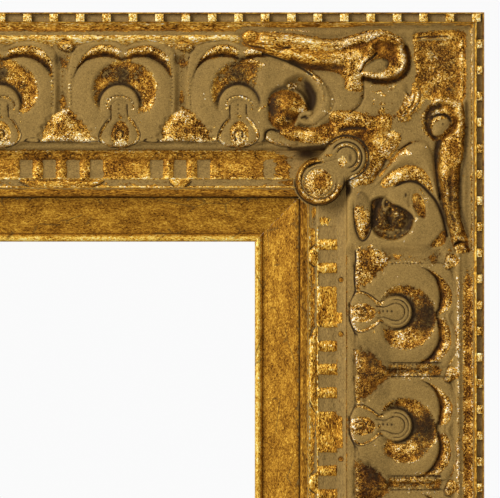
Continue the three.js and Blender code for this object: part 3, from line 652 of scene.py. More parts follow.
# %% [markdown]
# ## A tree that sets castings in a row
#
# Shells, flute groups and beads repeat along each rail, as the pressed composition strips of a real
# frame do. An Array modifier could copy one object, but a run needs its end pieces too. This Geometry
# Nodes tree takes several castings, each with a count, a start and a step, sets them on points of a
# line, makes the instances real and welds neighbours together.

# %% Row tree
WELD_GAP = 0.02 * MM


def row_tree(name, kinds):
    tree = bpy.data.node_groups.new(name, "GeometryNodeTree")
    tree.is_modifier = True
    sockets = {}

    def socket(label, kind):
        sockets[label] = tree.interface.new_socket(name=label, in_out="INPUT", socket_type=kind)

    socket("Geometry", "NodeSocketGeometry")
    for kind in kinds:
        socket(kind, "NodeSocketObject")
        socket(kind + " count", "NodeSocketInt")
        socket(kind + " start", FLOAT)
        socket(kind + " step", FLOAT)
    socket("Finish", "NodeSocketMaterial")
    tree.interface.new_socket(name="Geometry", in_out="OUTPUT", socket_type="NodeSocketGeometry")
    given = tree.nodes.new("NodeGroupInput").outputs
    joined = add_node(tree, "GeometryNodeJoinGeometry")
    for kind in kinds:
        start = add_node(tree, "ShaderNodeCombineXYZ", {0: given[kind + " start"]}).outputs[0]
        step = add_node(tree, "ShaderNodeCombineXYZ", {0: given[kind + " step"]}).outputs[0]
        line = add_node(
            tree, "GeometryNodeMeshLine",
            {"Count": given[kind + " count"], "Start Location": start, "Offset": step},
        )
        piece = add_node(tree, "GeometryNodeObjectInfo", {"Object": given[kind]})
        row = add_node(
            tree, "GeometryNodeInstanceOnPoints",
            {"Points": line.outputs[0], "Instance": piece.outputs["Geometry"]},
        )
        tree.links.new(row.outputs[0], joined.inputs[0])
    real = add_node(tree, "GeometryNodeRealizeInstances", {0: joined.outputs[0]})
    weld = add_node(tree, "GeometryNodeMergeByDistance", {"Geometry": real.outputs[0], "Distance": WELD_GAP})
    dressed = add_node(
        tree, "GeometryNodeSetMaterial", {"Geometry": weld.outputs[0], "Material": given["Finish"]},
    )
    out = tree.nodes.new("NodeGroupOutput")
    tree.links.new(dressed.outputs[0], out.inputs[0])
    return tree, sockets


def lay_row(name, made_tree, matrix, finish, **rows):
    """Runs the tree and stands the result up; rows gives each kind its mesh, count, start and step."""
    tree, sockets = made_tree
    holder = bpy.data.objects.new(name + " row", bpy.data.meshes.new(name + " row"))
    bpy.context.collection.objects.link(holder)
    modifier = holder.modifiers.new("row", "NODES")
    modifier.node_group = tree
    pieces = []
    for kind, (mesh, count, start, step) in rows.items():
        label = kind.replace("_", " ")
        piece = bpy.data.objects.new(name + " " + label, mesh)
        bpy.context.collection.objects.link(piece)
        pieces.append(piece)
        modifier[sockets[label].identifier] = piece
        modifier[sockets[label + " count"].identifier] = int(count)
        modifier[sockets[label + " start"].identifier] = float(start * UNIT)
        modifier[sockets[label + " step"].identifier] = float(step * UNIT)
    modifier[sockets["Finish"].identifier] = finish
    ready = holder.evaluated_get(bpy.context.evaluated_depsgraph_get())
    mesh = bpy.data.meshes.new_from_object(ready)
    for piece in (*pieces, holder):
        bpy.data.objects.remove(piece)
    mesh.transform(matrix)
    return mesh


def dress(mesh, finish):
    mesh.materials.clear()
    mesh.materials.append(finish)


def place_piece(name, mesh, node):
    """Puts a finished casting on the frame in place of its solid."""
    piece = bpy.data.objects.new(name.replace(" ", "_"), mesh)
    bpy.context.collection.objects.link(piece)
    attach(piece, "frame")
    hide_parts(node)


print("row tree ready")

# %% [markdown]
# ## The shell
#
# Each shell is a two-lobed rim over a cushion, with a dark bowl and a keyhole-shaped drop in the
# middle; a small leaf and a boss fill the gap to its neighbour. One shell is drawn round x = 0 from
# the outer cove (row 23) to the wavy border above the frieze (row 150).

# %% Shell drawing
BAND_START, BAND_END = 23.2, 150.6
SHELL_FLOOR, SHELL_STEP, SHELL_GRID_ROWS = 36.3, 1.15, 112
# Seeds of the random draws, so that every run makes the same castings
SHELL_SEED, BOWL_SEED, CORNER_SEED, FRIEZE_SEED = 11, 5, 7, 20
BAND_ROWS = [22, 23.5, 25, 27.5, 30.5, 32, 35, 36.5, 38.5, 41, 44, 60, 100, 140, 146, 148.5, 150.5, 152]
BAND_HEIGHTS = [
    48, 47.2, 46.0, 45.3, 45.2, 45.5, 45.4, 46.0, 46.6, 46.0, 43.6, 43.2, 42.0, 40.6, 40.2, 39.2, 37.8, 36.5,
]
SHELL_OUTLINE = [
    (-53, 74), (-51, 60), (-48.5, 52), (-44, 47), (-38, 44), (-30, 42), (-21, 41), (-13, 40.6), (-6, 41.6),
    (-1, 44), (4, 46.6), (9, 45), (15, 42), (23, 40.6), (31, 40.6), (39, 42), (47, 45), (52, 49), (55, 55),
    (56, 64),
]


def shell_ground(x, y, last=False, upright=False, first=False):
    r = Relief(x, y, np.interp(y, BAND_ROWS, BAND_HEIGHTS))
    r.drawn = (y < 45) * 0.8
    left_off = smoothstep(5, -5, x + 2.5 * np.sin(y * 1.9)) if last else 1.0
    # Painted highlights on the cove, on the ridge at rows 36 to 43 and along the arris at row 24
    r.paint(smoothstep(33.0 - 5.0 * (1 - left_off), 30.0 - 4.0 * (1 - left_off), y), gold=1.0, shine=0.36)
    r.paint(window(y, 34.5, 36.5, 43, 47) * left_off, gold=1.0, shine=0.88)
    r.paint(soft(y - 30.6, 1.3) * left_off, dark=0.42, shine=-0.1)
    r.paint(soft(y - 24.3, 0.9), gold=1.0, shine=0.45)
    if last:
        r.h -= smoothstep(-12, 6, x) * np.interp(y, [28, 31, 38.5, 44, 48], [0, 0.6, 2.6, 1.0, 0])
    if upright:
        r.drawn[:] = 0.0
        r.paint(smoothstep(47, 45, y), gold=0.0, dark=0.0, shine=0.0)
        # An upright faces the lamp another way: its cove and ridge get less painted highlight
        r.paint(window(y, 22.5, 24.5, 32.5, 34.5), gold=0.95, dark=0.02, shine=0.16)
        r.paint(soft(y - 38.5, 1.6), gold=0.8, dark=0.1, shine=0.2)
        r.paint(soft(y - 35.4, 0.9), dark=0.55, gold=0.3)
    if first:
        bare = smoothstep(46, 44, y) * smoothstep(-22, -52, x + 5 * np.sin(y * 1.3))
        r.paint(bare, gold=0.2, dark=0.05, shine=-0.05)
    return r


def dotted(path, x, y, pitch, width):
    """Share of a fine dotted line along a path."""
    d, t = line_distance(x, y, curve(path))
    length = np.hypot(*np.diff(np.asarray(path, float), axis=0).T).sum()
    return soft(d, width) * (0.5 + 0.5 * np.sin(t * length * 2 * np.pi / pitch))


RIM_FOOT = np.array(
    [
        (-47, 78), (-43, 66), (-38.5, 58), (-33, 52), (-28, 47.6), (-20, 44.6), (-11, 44.8), (-4, 48),
        (3.5, 51), (10, 48.6), (19, 46.6), (29, 45.6), (37, 48), (43.5, 52.4), (49, 59), (52, 70),
    ]
)
CUSHION_TOP = np.array(
    [
        (-47, 79), (-42, 68.5), (-34, 61), (-23, 57.4), (-13, 57), (-6, 58.4), (1, 60.8), (8, 59.4), (18, 57.4),
        (27, 58), (36, 61.6), (44.5, 68), (51, 79),
    ]
)


def shell_pad(r):
    x, y = r.x, r.y
    pad = SHELL_OUTLINE + [
        (56, 90), (55, 112), (50, 130), (42, 143), (0, 146), (-42, 143), (-48, 130), (-52, 112), (-53, 90),
    ]
    r.lobe(pad, 44.2, edge=5.0, **GLAZE)
    r.groove(SHELL_OUTLINE, 0.9, 0.3, stain_and_shade=0.9, dark=0.5, gold=0.45)
    r.groove([(14, 41), (26, 39.4), (36, 40.2), (45, 43.0), (51, 46.8)], 0.8, -0.2, **gilt(0.4))
    top = np.interp(x, *RIM_FOOT.T)
    low = np.interp(x, *CUSHION_TOP.T)
    q = np.clip((y - top) / np.maximum(low - top, 1), -1, 2)
    band = window(q, -0.12, 0.1, 0.95, 1.25) * smoothstep(-47, -44, x) * smoothstep(52, 49, x)
    level = np.interp(q, [0, 0.15, 0.4, 0.7, 1.0], [43.2, 43.9, 44.0, 43.0, 41.8])
    r.raise_to(level, band)
    ends = np.clip(smoothstep(-32, -44, x) + smoothstep(36, 48, x), 0, 1)
    valley = soft(x - 2.5, 5.5)
    # Each crescent gets a painted highlight along its top and painted shade towards its foot
    dark = np.interp(q, [0, 0.12, 0.45, 0.7, 1.0], [0.35, 0.0, 0.08, 0.38, 0.58])
    dark += 0.3 * ends * smoothstep(0.1, 0.7, q)
    shine = np.interp(q, [0, 0.14, 0.34, 0.55, 1.0], [0.0, 0.34, 0.26, -0.08, -0.3])
    r.paint(band, gold=1.0 - 0.75 * valley, dark=np.clip(dark - 0.2 * valley, 0, 0.9), shine=shine)


def shell_cushion(r):
    cushion = [
        *CUSHION_TOP.tolist(), (52, 100), (50, 120), (43, 140), (20, 144), (-20, 144), (-40, 140), (-47, 120),
        (-49, 100),
    ]
    r.lobe(cushion, 43.7, edge=2.6, crown=1.1, reach=12, gold=0.03, dark=0.0)
    # Painted shadow along the cushion's top under the crescents, heavier at the right end and in the notch
    r.groove(CUSHION_TOP + (0, -1.6), 1.0, 0.4, stain_and_shade=1.2, dark=0.6)
    r.spot(45, 64, 4, 5, 0.7, dark=0.7)
    r.spot(2, 60, 8, 3.2, 0.6, dark=0.45)
    rim_lines = [(-49.3, 74), (-49.6, 92), (-49, 106)], [(51.5, 68), (51.8, 90), (51.5, 108)]
    for path, amount in zip(rim_lines, (0.9, 1.0)):
        r.cut(dotted(path, r.x, r.y, 3.7, 1.2) * amount, 0.3, dark=0.85, gold=0.7)
        beside = dotted(shifted(path, -1.7, 1.8), r.x, r.y, 3.7, 1.0)
        r.paint(beside * amount, gold=1.1, dark=0.0, shine=0.1)


def shell_bowl(r, last=False, upright=False):
    x, y = r.x, r.y
    bowl = np.hypot(x - 4, (y - 91) * 1.04)
    foot = smoothstep(119, 106, y)
    side = smoothstep(27, 8, x + 0.15 * (y - 80)) if last else 1.0
    r.h -= 2.0 * smoothstep(35, 27, bowl) * foot * side
    thin = 0.14 * smoothstep(0, -14, x) * smoothstep(86, 68, y)
    edge = smoothstep(37, 29, bowl) * foot * side
    r.paint(edge, gold=0.70 - 0.5 * thin)
    inside = smoothstep(34, 28, bowl) * foot * side
    r.paint(
        inside, dark=np.interp(x, [-22, -8, 6, 14], [0.20, 0.26, 0.26, 0.14]),
        shine=np.interp(x, [-8, 8, 24], [-0.05, -0.1, 0.0]),
    )
    if upright:
        r.paint(inside * glow(x, y, 2, 72, 20, 15, 1.25), dark=0.74, gold=0.66, shine=-0.2)
        r.paint(inside * glow(x, y, 24, 97, 12, 14), dark=0.0, gold=0.95, shine=0.3)
        r.paint(inside * glow(x, y, -21, 84, 9, 13) * 0.8, dark=0.15, gold=0.75, shine=0.2)
        return
    r.paint(inside * 0.9 * glow(x, y, -0.5, 75, 9, 10), dark=0.74, gold=0.5)
    r.paint(inside * glow(x, y, 26, 103, 9, 8), dark=0.0, gold=1.0, shine=0.1)


def shell_drop(r, upright=False):
    x, y = r.x, r.y
    round_row, round_size = (100.5, 16.6) if upright else (105, 20.4)
    for path in ([(34, 98), (29, 104), (22, 108.4), (16.6, 113)], [(-25, 104), (-20.4, 110), (-16, 115)]):
        r.groove(path, 1.1, -0.2, **gilt(0.4))
    head = np.hypot(x + 1, y - round_row)
    moat = soft(head - round_size, np.where(head > round_size, 3.0, 1.3)) * smoothstep(116, 98, y)
    r.cut(moat, 0.5, dark=0.84, gold=0.3)
    tail = [
        (-9.8, 111), (-9.8, 118), (-15, 125), (-19, 132), (-20, 138), (-17, 143), (-11, 146), (-4, 145.4),
        (2, 145.4), (8, 144.8), (15, 141.4), (18, 136), (16, 129), (12, 122.5), (7.4, 117), (7, 111),
    ]
    d = r.lobe(tail, 43.7, edge=1.8, crown=0.7, reach=5, gold=0.03, dark=0.0)
    below = smoothstep(111, 115, y)
    r.h -= 0.5 * soft(d + 0.9, 0.9) * below
    r.paint(soft(d + 1.7, 0.9) * below, dark=0.85, gold=0.3)
    r.paint(soft(d - 0.1, 0.9) * below, gold=1.6, dark=0.0, shine=0.4)
    mask = smoothstep(round_size - 0.2, round_size - 2.0, head) * smoothstep(122, 113, y)
    r.raise_to(43.9 + 1.1 * np.sqrt(np.clip(1 - (head / 24) ** 2, 0, 1)), mask)
    r.paint(mask, gold=0.03, dark=0.0)
    if upright:
        for radius in (12.4, 8.6):
            r.cut(soft(head - radius, 1.0) * smoothstep(108, 101, y), 0.5, dark=0.78, gold=0.4)
        for path in ([(-9.6, 104), (-6, 112), (-7, 121)], [(7.6, 104), (4.4, 112), (5, 119)]):
            r.groove(path, 1.0, 0.4, dark=0.75, gold=0.4)
    else:
        arc = [(-13, 108), (-13, 101.5), (-8.5, 97), (-1, 95.4), (6.5, 97), (12.4, 102), (12.6, 108)]
        r.groove(arc, 1.0, 0.4, dark=0.8)
        r.paint(dotted(shifted(arc, 0, 1.3), x, y, 3.4, 1.2), gold=1.8, dark=0.0, shine=0.5)
        r.groove([(-9, 104), (-5, 100.6), (0, 99.8), (6, 101.6)], 1.0, 0.3, dark=0.55)
        for path in ([(-9.6, 106), (-9.8, 112), (-9.4, 119)], [(6.6, 105), (6.6, 111), (7.4, 117)]):
            r.groove(path, 1.1, 0.4, dark=0.85, gold=0.8)
    line = dotted([(-1.6, 104), (-1.8, 115), (-1.4, 126)], x, y, 4.2, 1.8 if upright else 1.1)
    r.cut(line, 0.4, dark=0.92, gold=0.4)
    r.spot(0.2, 117, 2.6, 2.6, 0.9, gold=0.95, dark=0.3)
    r.dome(-0.3, 134.6, 7.8, 11.0, 43.8, 0.9, edge=3, gold=1.0, dark=0.08, shine=0.1)
    r.groove([(-4, 140), (-5, 134), (-2, 130.4), (2.4, 132), (2.4, 137)], 1.2, 0.8, dark=0.72)


def gap_leaf(r, side, row, upright=False, first=False):
    """Leaf and boss between two shells; side is the signed distance from the gap's middle."""
    right = np.interp(
        row, [106, 108, 110, 113, 117, 120, 125, 130, 142], [0, 4, 9, 13, 15.5, 18.5, 24, 28.5, 32.5],
    )
    left = np.interp(row, [107, 110, 112.5, 116, 120, 125, 130, 142], [0, 1.5, 4, 8, 12.5, 16, 18.5, 21])
    d = np.where(side > 0, right - side, left + side)
    d = d + 1.6 * np.sin(row * 0.85 + side * 0.3) + 1.2 * np.sin(side * 0.9 - row * 0.35)
    leaf = smoothstep(-4.5, 3.5, d) * smoothstep(105, 108, row) * smoothstep(143.0, 141.0, row)
    r.raise_to(42.7 + 1.9 * np.sqrt(np.clip(d / 16, 0, 1)), leaf)
    r.paint(smoothstep(-5, 5, d) * smoothstep(104, 109, row) * smoothstep(143.0, 141.0, row), **gilt(0.2))
    # Painted shade on the lower right of the leaf
    r.paint(leaf * glow(side, row, 4, 131, 10, 6) * 0.85, dark=0.5, shine=-0.25)
    r.paint(leaf * soft(d - 2.0, 3.0) * 0.8, shine=0.2)
    pocket = np.hypot((side + 28.5) / 6.5, (row - 140.6) / 2.2)
    r.paint(smoothstep(1.15, 0.8, pocket), gold=0.1, dark=0.0)
    r.paint(soft(pocket - 1.1, 0.22), dark=0.85, gold=0.5)
    r.h -= 0.4 * smoothstep(7.5, 4.5, np.abs(side)) * smoothstep(54, 60, row) * smoothstep(112, 104, row)
    # A hollow below the boss, darkened with painted shade
    hollow = glow(side, row, -1, 60, 9, 8) * smoothstep(50, 54, row)
    r.cut(hollow, 1.0, dark=0.62, gold=0.4)
    r.paint(glow(side, row, 4, 64, 4.5, 6) * 0.9, gold=0.85, dark=0.3)
    r.paint(glow(side, row, 1.5, 100, 3.4, 8) * 0.9, gold=0.85, dark=0.25)
    if upright:
        channel = window(row, 52, 58, 106, 114) * np.where(first & (r.x < 0), 0.45, 1.0)
        r.paint(smoothstep(5.5, 3.5, np.abs(side)) * channel, gold=0.62, dark=0.3, shine=0.05)
        for line in (6.8, -6.8):
            r.cut(soft(side - line, 1.0) * channel, 0.5, dark=0.75, gold=0.5)
            r.paint(soft(side - 1.45 * line, 0.8) * channel * 0.7, gold=0.9, dark=0.0, shine=0.2)
    else:
        gap = window(row, 64, 68, 102, 108)
        r.paint(soft(side - 1.2, 1.2) * (0.5 + 0.5 * np.sin(row * 1.25)) * gap * 0.8, gold=0.75, dark=0.6)
        r.paint(soft(side + 1.6, 1.0) * gap * 0.6, dark=0.7)
    turn = np.arctan2(row - 45.2, side - 5.0)
    uneven = 1 + 0.13 * np.sin(2 * turn + 0.7) + 0.09 * np.sin(3 * turn - 0.4)
    boss = np.hypot((side - 5.0) / 0.95, row - 45.2) / uneven
    mask = smoothstep(8.6, 5.6, boss)
    r.raise_to(43.6 + 2.0 * np.sqrt(np.clip(1 - (boss / 9) ** 2, 0, 1)), mask)
    r.paint(mask, gold=1.0, dark=0.15, shine=0.0)
    # Painted shade round the boss's lower edge, left and right, and a painted highlight on its top
    r.paint(soft(boss - 8.0, 1.4) * smoothstep(41, 48, row), dark=0.62, gold=0.5)
    r.paint(glow(side, row, 7.5, 48.4, 2.6, 2.8) * 0.9, dark=0.6)
    r.paint(glow(side, row, 2.4, 46.6, 2.0, 2.4) * 0.7, dark=0.55)
    r.paint(glow(side, row, 5.0, 42.0, 4, 1.8), shine=0.5, dark=0.0)


def shell_border(r, deeper=0.0):
    x, y = r.x, r.y
    wave = 141.8 + 5.0 * np.exp(-((x / 18) ** 4)) + 0.7 * np.cos(x / 6.0)
    line = soft(y - wave, 0.9 + deeper) * (0.35 + 0.5 * smoothstep(10, 22, np.abs(x)) + deeper)
    r.paint(np.clip(line, 0, 1), dark=0.8 + 0.2 * deeper, gold=0.5)
    r.h -= (0.4 + deeper) * soft(y - wave, 1.0)
    mask = smoothstep(wave + 0.3, wave + 2.2, y)
    r.raise_to(np.interp(y, [142, 147, 149, 151, 153], [41.4, 41.0, 39.8, 38.0, 36.0]), mask)
    r.paint(mask, gold=0.04, dark=0.0)
    r.paint(smoothstep(148.6, 150.6, y), gold=0.8, shine=0.2)


def draw_shell(x, y, pitch, last=False, upright=False, first=False):
    """A whole shell; the last one of a run loses its right half to the corner's leaf and cup."""
    r = shell_ground(x, y, last, upright, first)
    shell_pad(r)
    shell_cushion(r)
    shell_bowl(r, last, upright)
    shell_drop(r, upright)
    gap_leaf(r, np.where(x > 0, x - pitch / 2, x + pitch / 2), y, upright, first)
    shell_border(r, 0.45 if upright else 0.0)
    if upright:
        # Painted shade over the lower outer parts of an upright shell
        lee_shade = smoothstep(10, 34, x if first else np.abs(x)) * smoothstep(102, 108, y) * smoothstep(146, 142, y)
        r.paint(lee_shade * 0.9, dark=0.45, shine=-0.25)
    if last:
        r.groove([(11, 60.6), (18, 62), (27, 66.5)], 1.3, -0.2, **gilt(0.3))
    return r


def cast_grain(r, rng, share=1.0):
    """Unevenness of the casting, and patches where the leaf wore bright or took stains."""
    shape = r.h.shape
    r.gold += share * 0.45 * (smeared(r.gold, 2) - r.gold)
    even = 0.05 * roughness_field(shape, 12, rng)
    rough = (0.03 + 0.20 * r.gold) * roughness_field(shape, 2.2, rng)
    rough += 0.22 * r.gold * roughness_field(shape, 6, rng)
    r.h += share * (even + rough)
    r.shine += share * 0.20 * r.gold * roughness_field(shape, 7, rng)
    r.dark += share * 0.5 * r.gold * np.clip(roughness_field(shape, 5, rng) - 0.2, 0, 1)


def stray_flecks(r, rng, count, low, high):
    """Crumbs of leaf that stick to the glaze here and there."""
    for _ in range(count):
        px, py = rng.uniform(low, high)
        size = rng.uniform(0.8, 1.8)
        r.spot(px, py, size * rng.uniform(1, 2), size, rng.uniform(0.6, 1.0), gold=0.95, shine=0.3)


def shell_tile(start, end, pitch, **kind):
    columns = int((end - start) / SHELL_STEP)
    x, y = np.meshgrid(np.linspace(start, end, columns), np.linspace(BAND_START, BAND_END, SHELL_GRID_ROWS))
    r = draw_shell(x, y, pitch, **kind)
    rng = np.random.default_rng(SHELL_SEED)
    stray_flecks(r, rng, 26, (-50, 58), (50, 140))
    cast_grain(r, rng, smoothstep(0, 4, pitch / 2 - np.abs(x)))
    return r


print("shell drawn from row", BAND_START, "to", BAND_END)

# %% [markdown]
# ## Shell runs
#
# The level rails carry seven shells and the uprights eight, a little closer together. The end shells
# of the level runs are cut off under the corner ornaments, as on the real strip.

# %% Shell runs
ACROSS_PITCH, UPRIGHT_PITCH, END_CUT = 119.0, 113.2, 22.0
ACROSS_COUNT, UPRIGHT_COUNT = 7, 8
# Middle of the rail to the middle of the last shell
ACROSS_REACH, UPRIGHT_REACH = (ACROSS_COUNT - 1) / 2 * ACROSS_PITCH, (UPRIGHT_COUNT - 1) / 2 * UPRIGHT_PITCH
shell_row = row_tree("Shell run", ["First shell", "Shell", "Last shell"])


def turned_about(r):
    """The same sheet seen in a mirror, for the other end of a run."""
    for key in ("y", *Relief.MAPS):
        setattr(r, key, getattr(r, key)[:, ::-1])
    r.x = -r.x[:, ::-1]
    return r


def shell_meshes(pitch, upright):
    """The castings of a run; the outer shells of a level run are cut off under the corners."""
    half = pitch / 2
    kind, end = ({"upright": True, "first": True}, half) if upright else ({"last": True}, END_CUT)
    sheets = {
        "First shell": shell_tile(-half, end, pitch, **kind),
        "Shell": shell_tile(-half, half, pitch, upright=upright),
        "Last shell": shell_tile(-half, end, pitch, **kind),
    }
    turned_about(sheets["Last shell" if upright else "First shell"])
    return {
        name: closed_strip(name, sheet, SHELL_FLOOR, name == "First shell", name == "Last shell")
        for name, sheet in sheets.items()
    }


shell_sets = {
    LEVEL: (shell_meshes(ACROSS_PITCH, False), ACROSS_COUNT, ACROSS_PITCH, ACROSS_REACH),
    UPRIGHT: (shell_meshes(UPRIGHT_PITCH, True), UPRIGHT_COUNT, UPRIGHT_PITCH, UPRIGHT_REACH),
}
for side, matrix in SIDES.items():
    meshes, count, pitch, reach = shell_sets[side in UPRIGHTS]
    run = lay_row(
        "shells " + side, shell_row, matrix, shell_gold[side in UPRIGHTS],
        First_shell=(meshes["First shell"], 1, -reach, 0),
        Shell=(meshes["Shell"], count - 2, pitch - reach, pitch),
        Last_shell=(meshes["Last shell"], 1, reach, 0),
    )
    place_piece("shells " + side, run, "shell_run_" + side)
    print("shells", side, len(run.polygons), "faces")

# %% [markdown]
# ## Corner ornament
#
# The hardest casting: a long scroll leaf under the top lip, a cup with a ball, a stippled panel, a
# column with a volute, and a half shell with a dark bowl. It is drawn feature by feature, the lowest
# first, for the top right corner; the other three corners are mirrored.

# %% Corner drawing: grounds
CORNER_ROWS = [22, 23.5, 25.5, 28.5, 33, 38, 60, 100, 140, 146, 148.5, 150.4, 152]
CORNER_HEIGHTS = [48, 47.6, 45.6, 44.6, 44.8, 43.6, 43.4, 42.8, 42.0, 41.2, 39.8, 38.2, 37.0]


def corner_grounds(x, y):
    row = np.minimum(y, EDGE_ROW + EDGE_COLUMN - x)
    r = Relief(x, y, np.interp(row, CORNER_ROWS, CORNER_HEIGHTS))
    r.drawn = (y < 28.8) * 1.0
    r.paint(soft(row - 25, 1.3), gold=0.9, shine=0.3)
    r.paint(smoothstep(28.6, 27.0, y) * smoothstep(366, 348, x), gold=1.0, shine=0.4)
    for path in ([(262, 31.6), (268, 32.0), (275, 32.2)], [(280, 29.8), (294, 30.4), (309, 32.0)]):
        r.groove(path, 0.8, -0.2, **gilt(0.9))
    r.spot(335.5, 33, 1.8, 2.4, 1.0, gold=1.0, shine=0.4)
    # Painted shadow right of the panel's rim
    r.paint(window(x, 462, 465, 467, 471), dark=0.42)
    panel = [
        (413, 46), (414, 34), (425, 31.5), (446, 31), (465, 32), (465.5, 60), (465, 98), (452, 101), (440, 97),
        (428, 99), (418, 95), (412, 86), (416, 72), (414, 60),
    ]
    d = r.lobe(panel, 43.4, edge=5, gold=0.95, dark=0.1)
    r.h -= 0.7 * smoothstep(3, 9, d) * smoothstep(38, 42, y)
    r.paint(smoothstep(2, 8, d) * 0.9, dark=0.38, shine=0.04)
    for px, py, rx, ry in ((434, 51, 8, 7), (447, 65, 9, 8), (455, 90, 7, 6), (430, 90, 6, 6), (424, 74, 6, 7)):
        r.spot(px, py, rx, ry, 0.6, dark=0.62)
    r.groove([(417, 38.5), (424, 37), (447, 36.6)], 1.1, 0.5, dark=0.8)
    r.groove([(417, 40.6), (430, 39.6), (447, 39.4)], 1.2, -0.3, gold=0.1, dark=0.0)
    r.roll([(461.5, 42), (462, 65), (461.5, 97)], 2.2, 43.4, 0.7, edge=2, gold=1.0, dark=0.05, shine=0.0)
    trail = [
        (414, 80), (425, 90), (423, 106), (412, 119), (398, 124), (393, 114), (399, 98), (402, 86), (408, 94),
        (412, 88),
    ]
    r.lobe(trail, 43.6, edge=10, crown=0.4, reach=10, gold=0.62, dark=0.15, shine=-0.1)
    for path in (
        [(400, 85), (402, 95), (406, 104)], [(395, 98), (400, 105), (404, 113)],
        [(404, 93), (409, 100), (410, 107)], [(413, 96), (410, 105), (403, 115)],
        [(418, 92), (417, 102), (410, 112)], [(396, 108), (400, 115), (405, 119)],
    ):
        r.roll(path, 1.6, 43.9, 0.7, edge=1.6, taper=(0.6, 1.0), **gilt(0.2))
        r.groove(shifted(path, 2.4, -0.6), 1.0, 0.5, dark=0.6)
    left = [
        (300, 70), (330, 73), (352, 76), (361, 82), (362, 96), (356, 107), (344, 114), (330, 120), (318, 128),
        (312, 124), (326, 112), (331, 98), (322, 80),
    ]
    r.lobe(left, 43.8, edge=4, crown=0.8, **GLAZE)
    right = [(364, 80), (385, 84), (404, 84), (404, 98), (396, 112), (380, 116), (358, 113), (363, 98)]
    r.lobe(right, 43.7, edge=4, crown=0.8, **GLAZE)
    for px, py, rx, ry, amount in (
        (386, 90, 6, 3, 0.6), (373, 103, 3, 5, 0.55), (391, 104, 3, 3, 0.5), (378, 110, 6, 3, 0.6),
    ):
        r.spot(px, py, rx, ry, amount, gold=0.9)
    r.spot(340, 86, 6, 6, 0.35, dark=0.4)
    mass = [
        (300, 126), (318, 133), (328, 124), (336, 114), (350, 112), (368, 117), (386, 114), (392, 120),
        (391, 131), (401, 135), (398, 146), (388, 158), (378, 172), (370, 186), (352, 188), (346, 178),
        (352, 162), (342, 146), (322, 146),
    ]
    d = r.lobe(mass, 43.0, edge=8, crown=1.2, reach=14, gold=0.97, dark=0.06)
    r.paint(smoothstep(1, 5, d) * glow(x, y, 364, 138, 13, 13), dark=0.16, shine=-0.42)
    r.paint(smoothstep(0, 4, d) * glow(x, y, 386, 146, 9, 14) * 0.9, dark=0.22, shine=0.24)
    r.spot(345, 134, 8, 4, 0.7, dark=0.5, shine=-0.2)
    r.groove([(340, 130), (352, 128), (366, 128.6)], 1.8, 0.9, dark=0.85)
    r.roll([(335, 117), (346, 117), (358, 119), (371, 123)], 4.8, 43.3, 1.4, edge=3, **gilt(0.15))
    r.roll([(386, 140), (391, 147), (384, 152)], 3.0, 43.6, 1.0, edge=3, gold=1.0, dark=0.1, shine=0.2)
    r.roll([(352, 178), (360, 175), (368, 176)], 4.0, 43.2, 1.4, edge=3, **gilt(0.25))
    r.groove([(374, 176), (381, 170), (386, 160)], 2.0, 0.9, dark=0.6)
    return r


print("corner grounds drawn")

# %% [markdown]
# ## Scroll leaf
#
# A long acanthus leaf lies under the top lip and rolls up into a volute at its right end. A carver
# cuts the body first and then the ridges and veins into it, and so does this cell: one closed outline,
# rolls along the ridges, grooves between them and a hollow with a small tongue in the volute.

# %% Corner drawing: scroll leaf


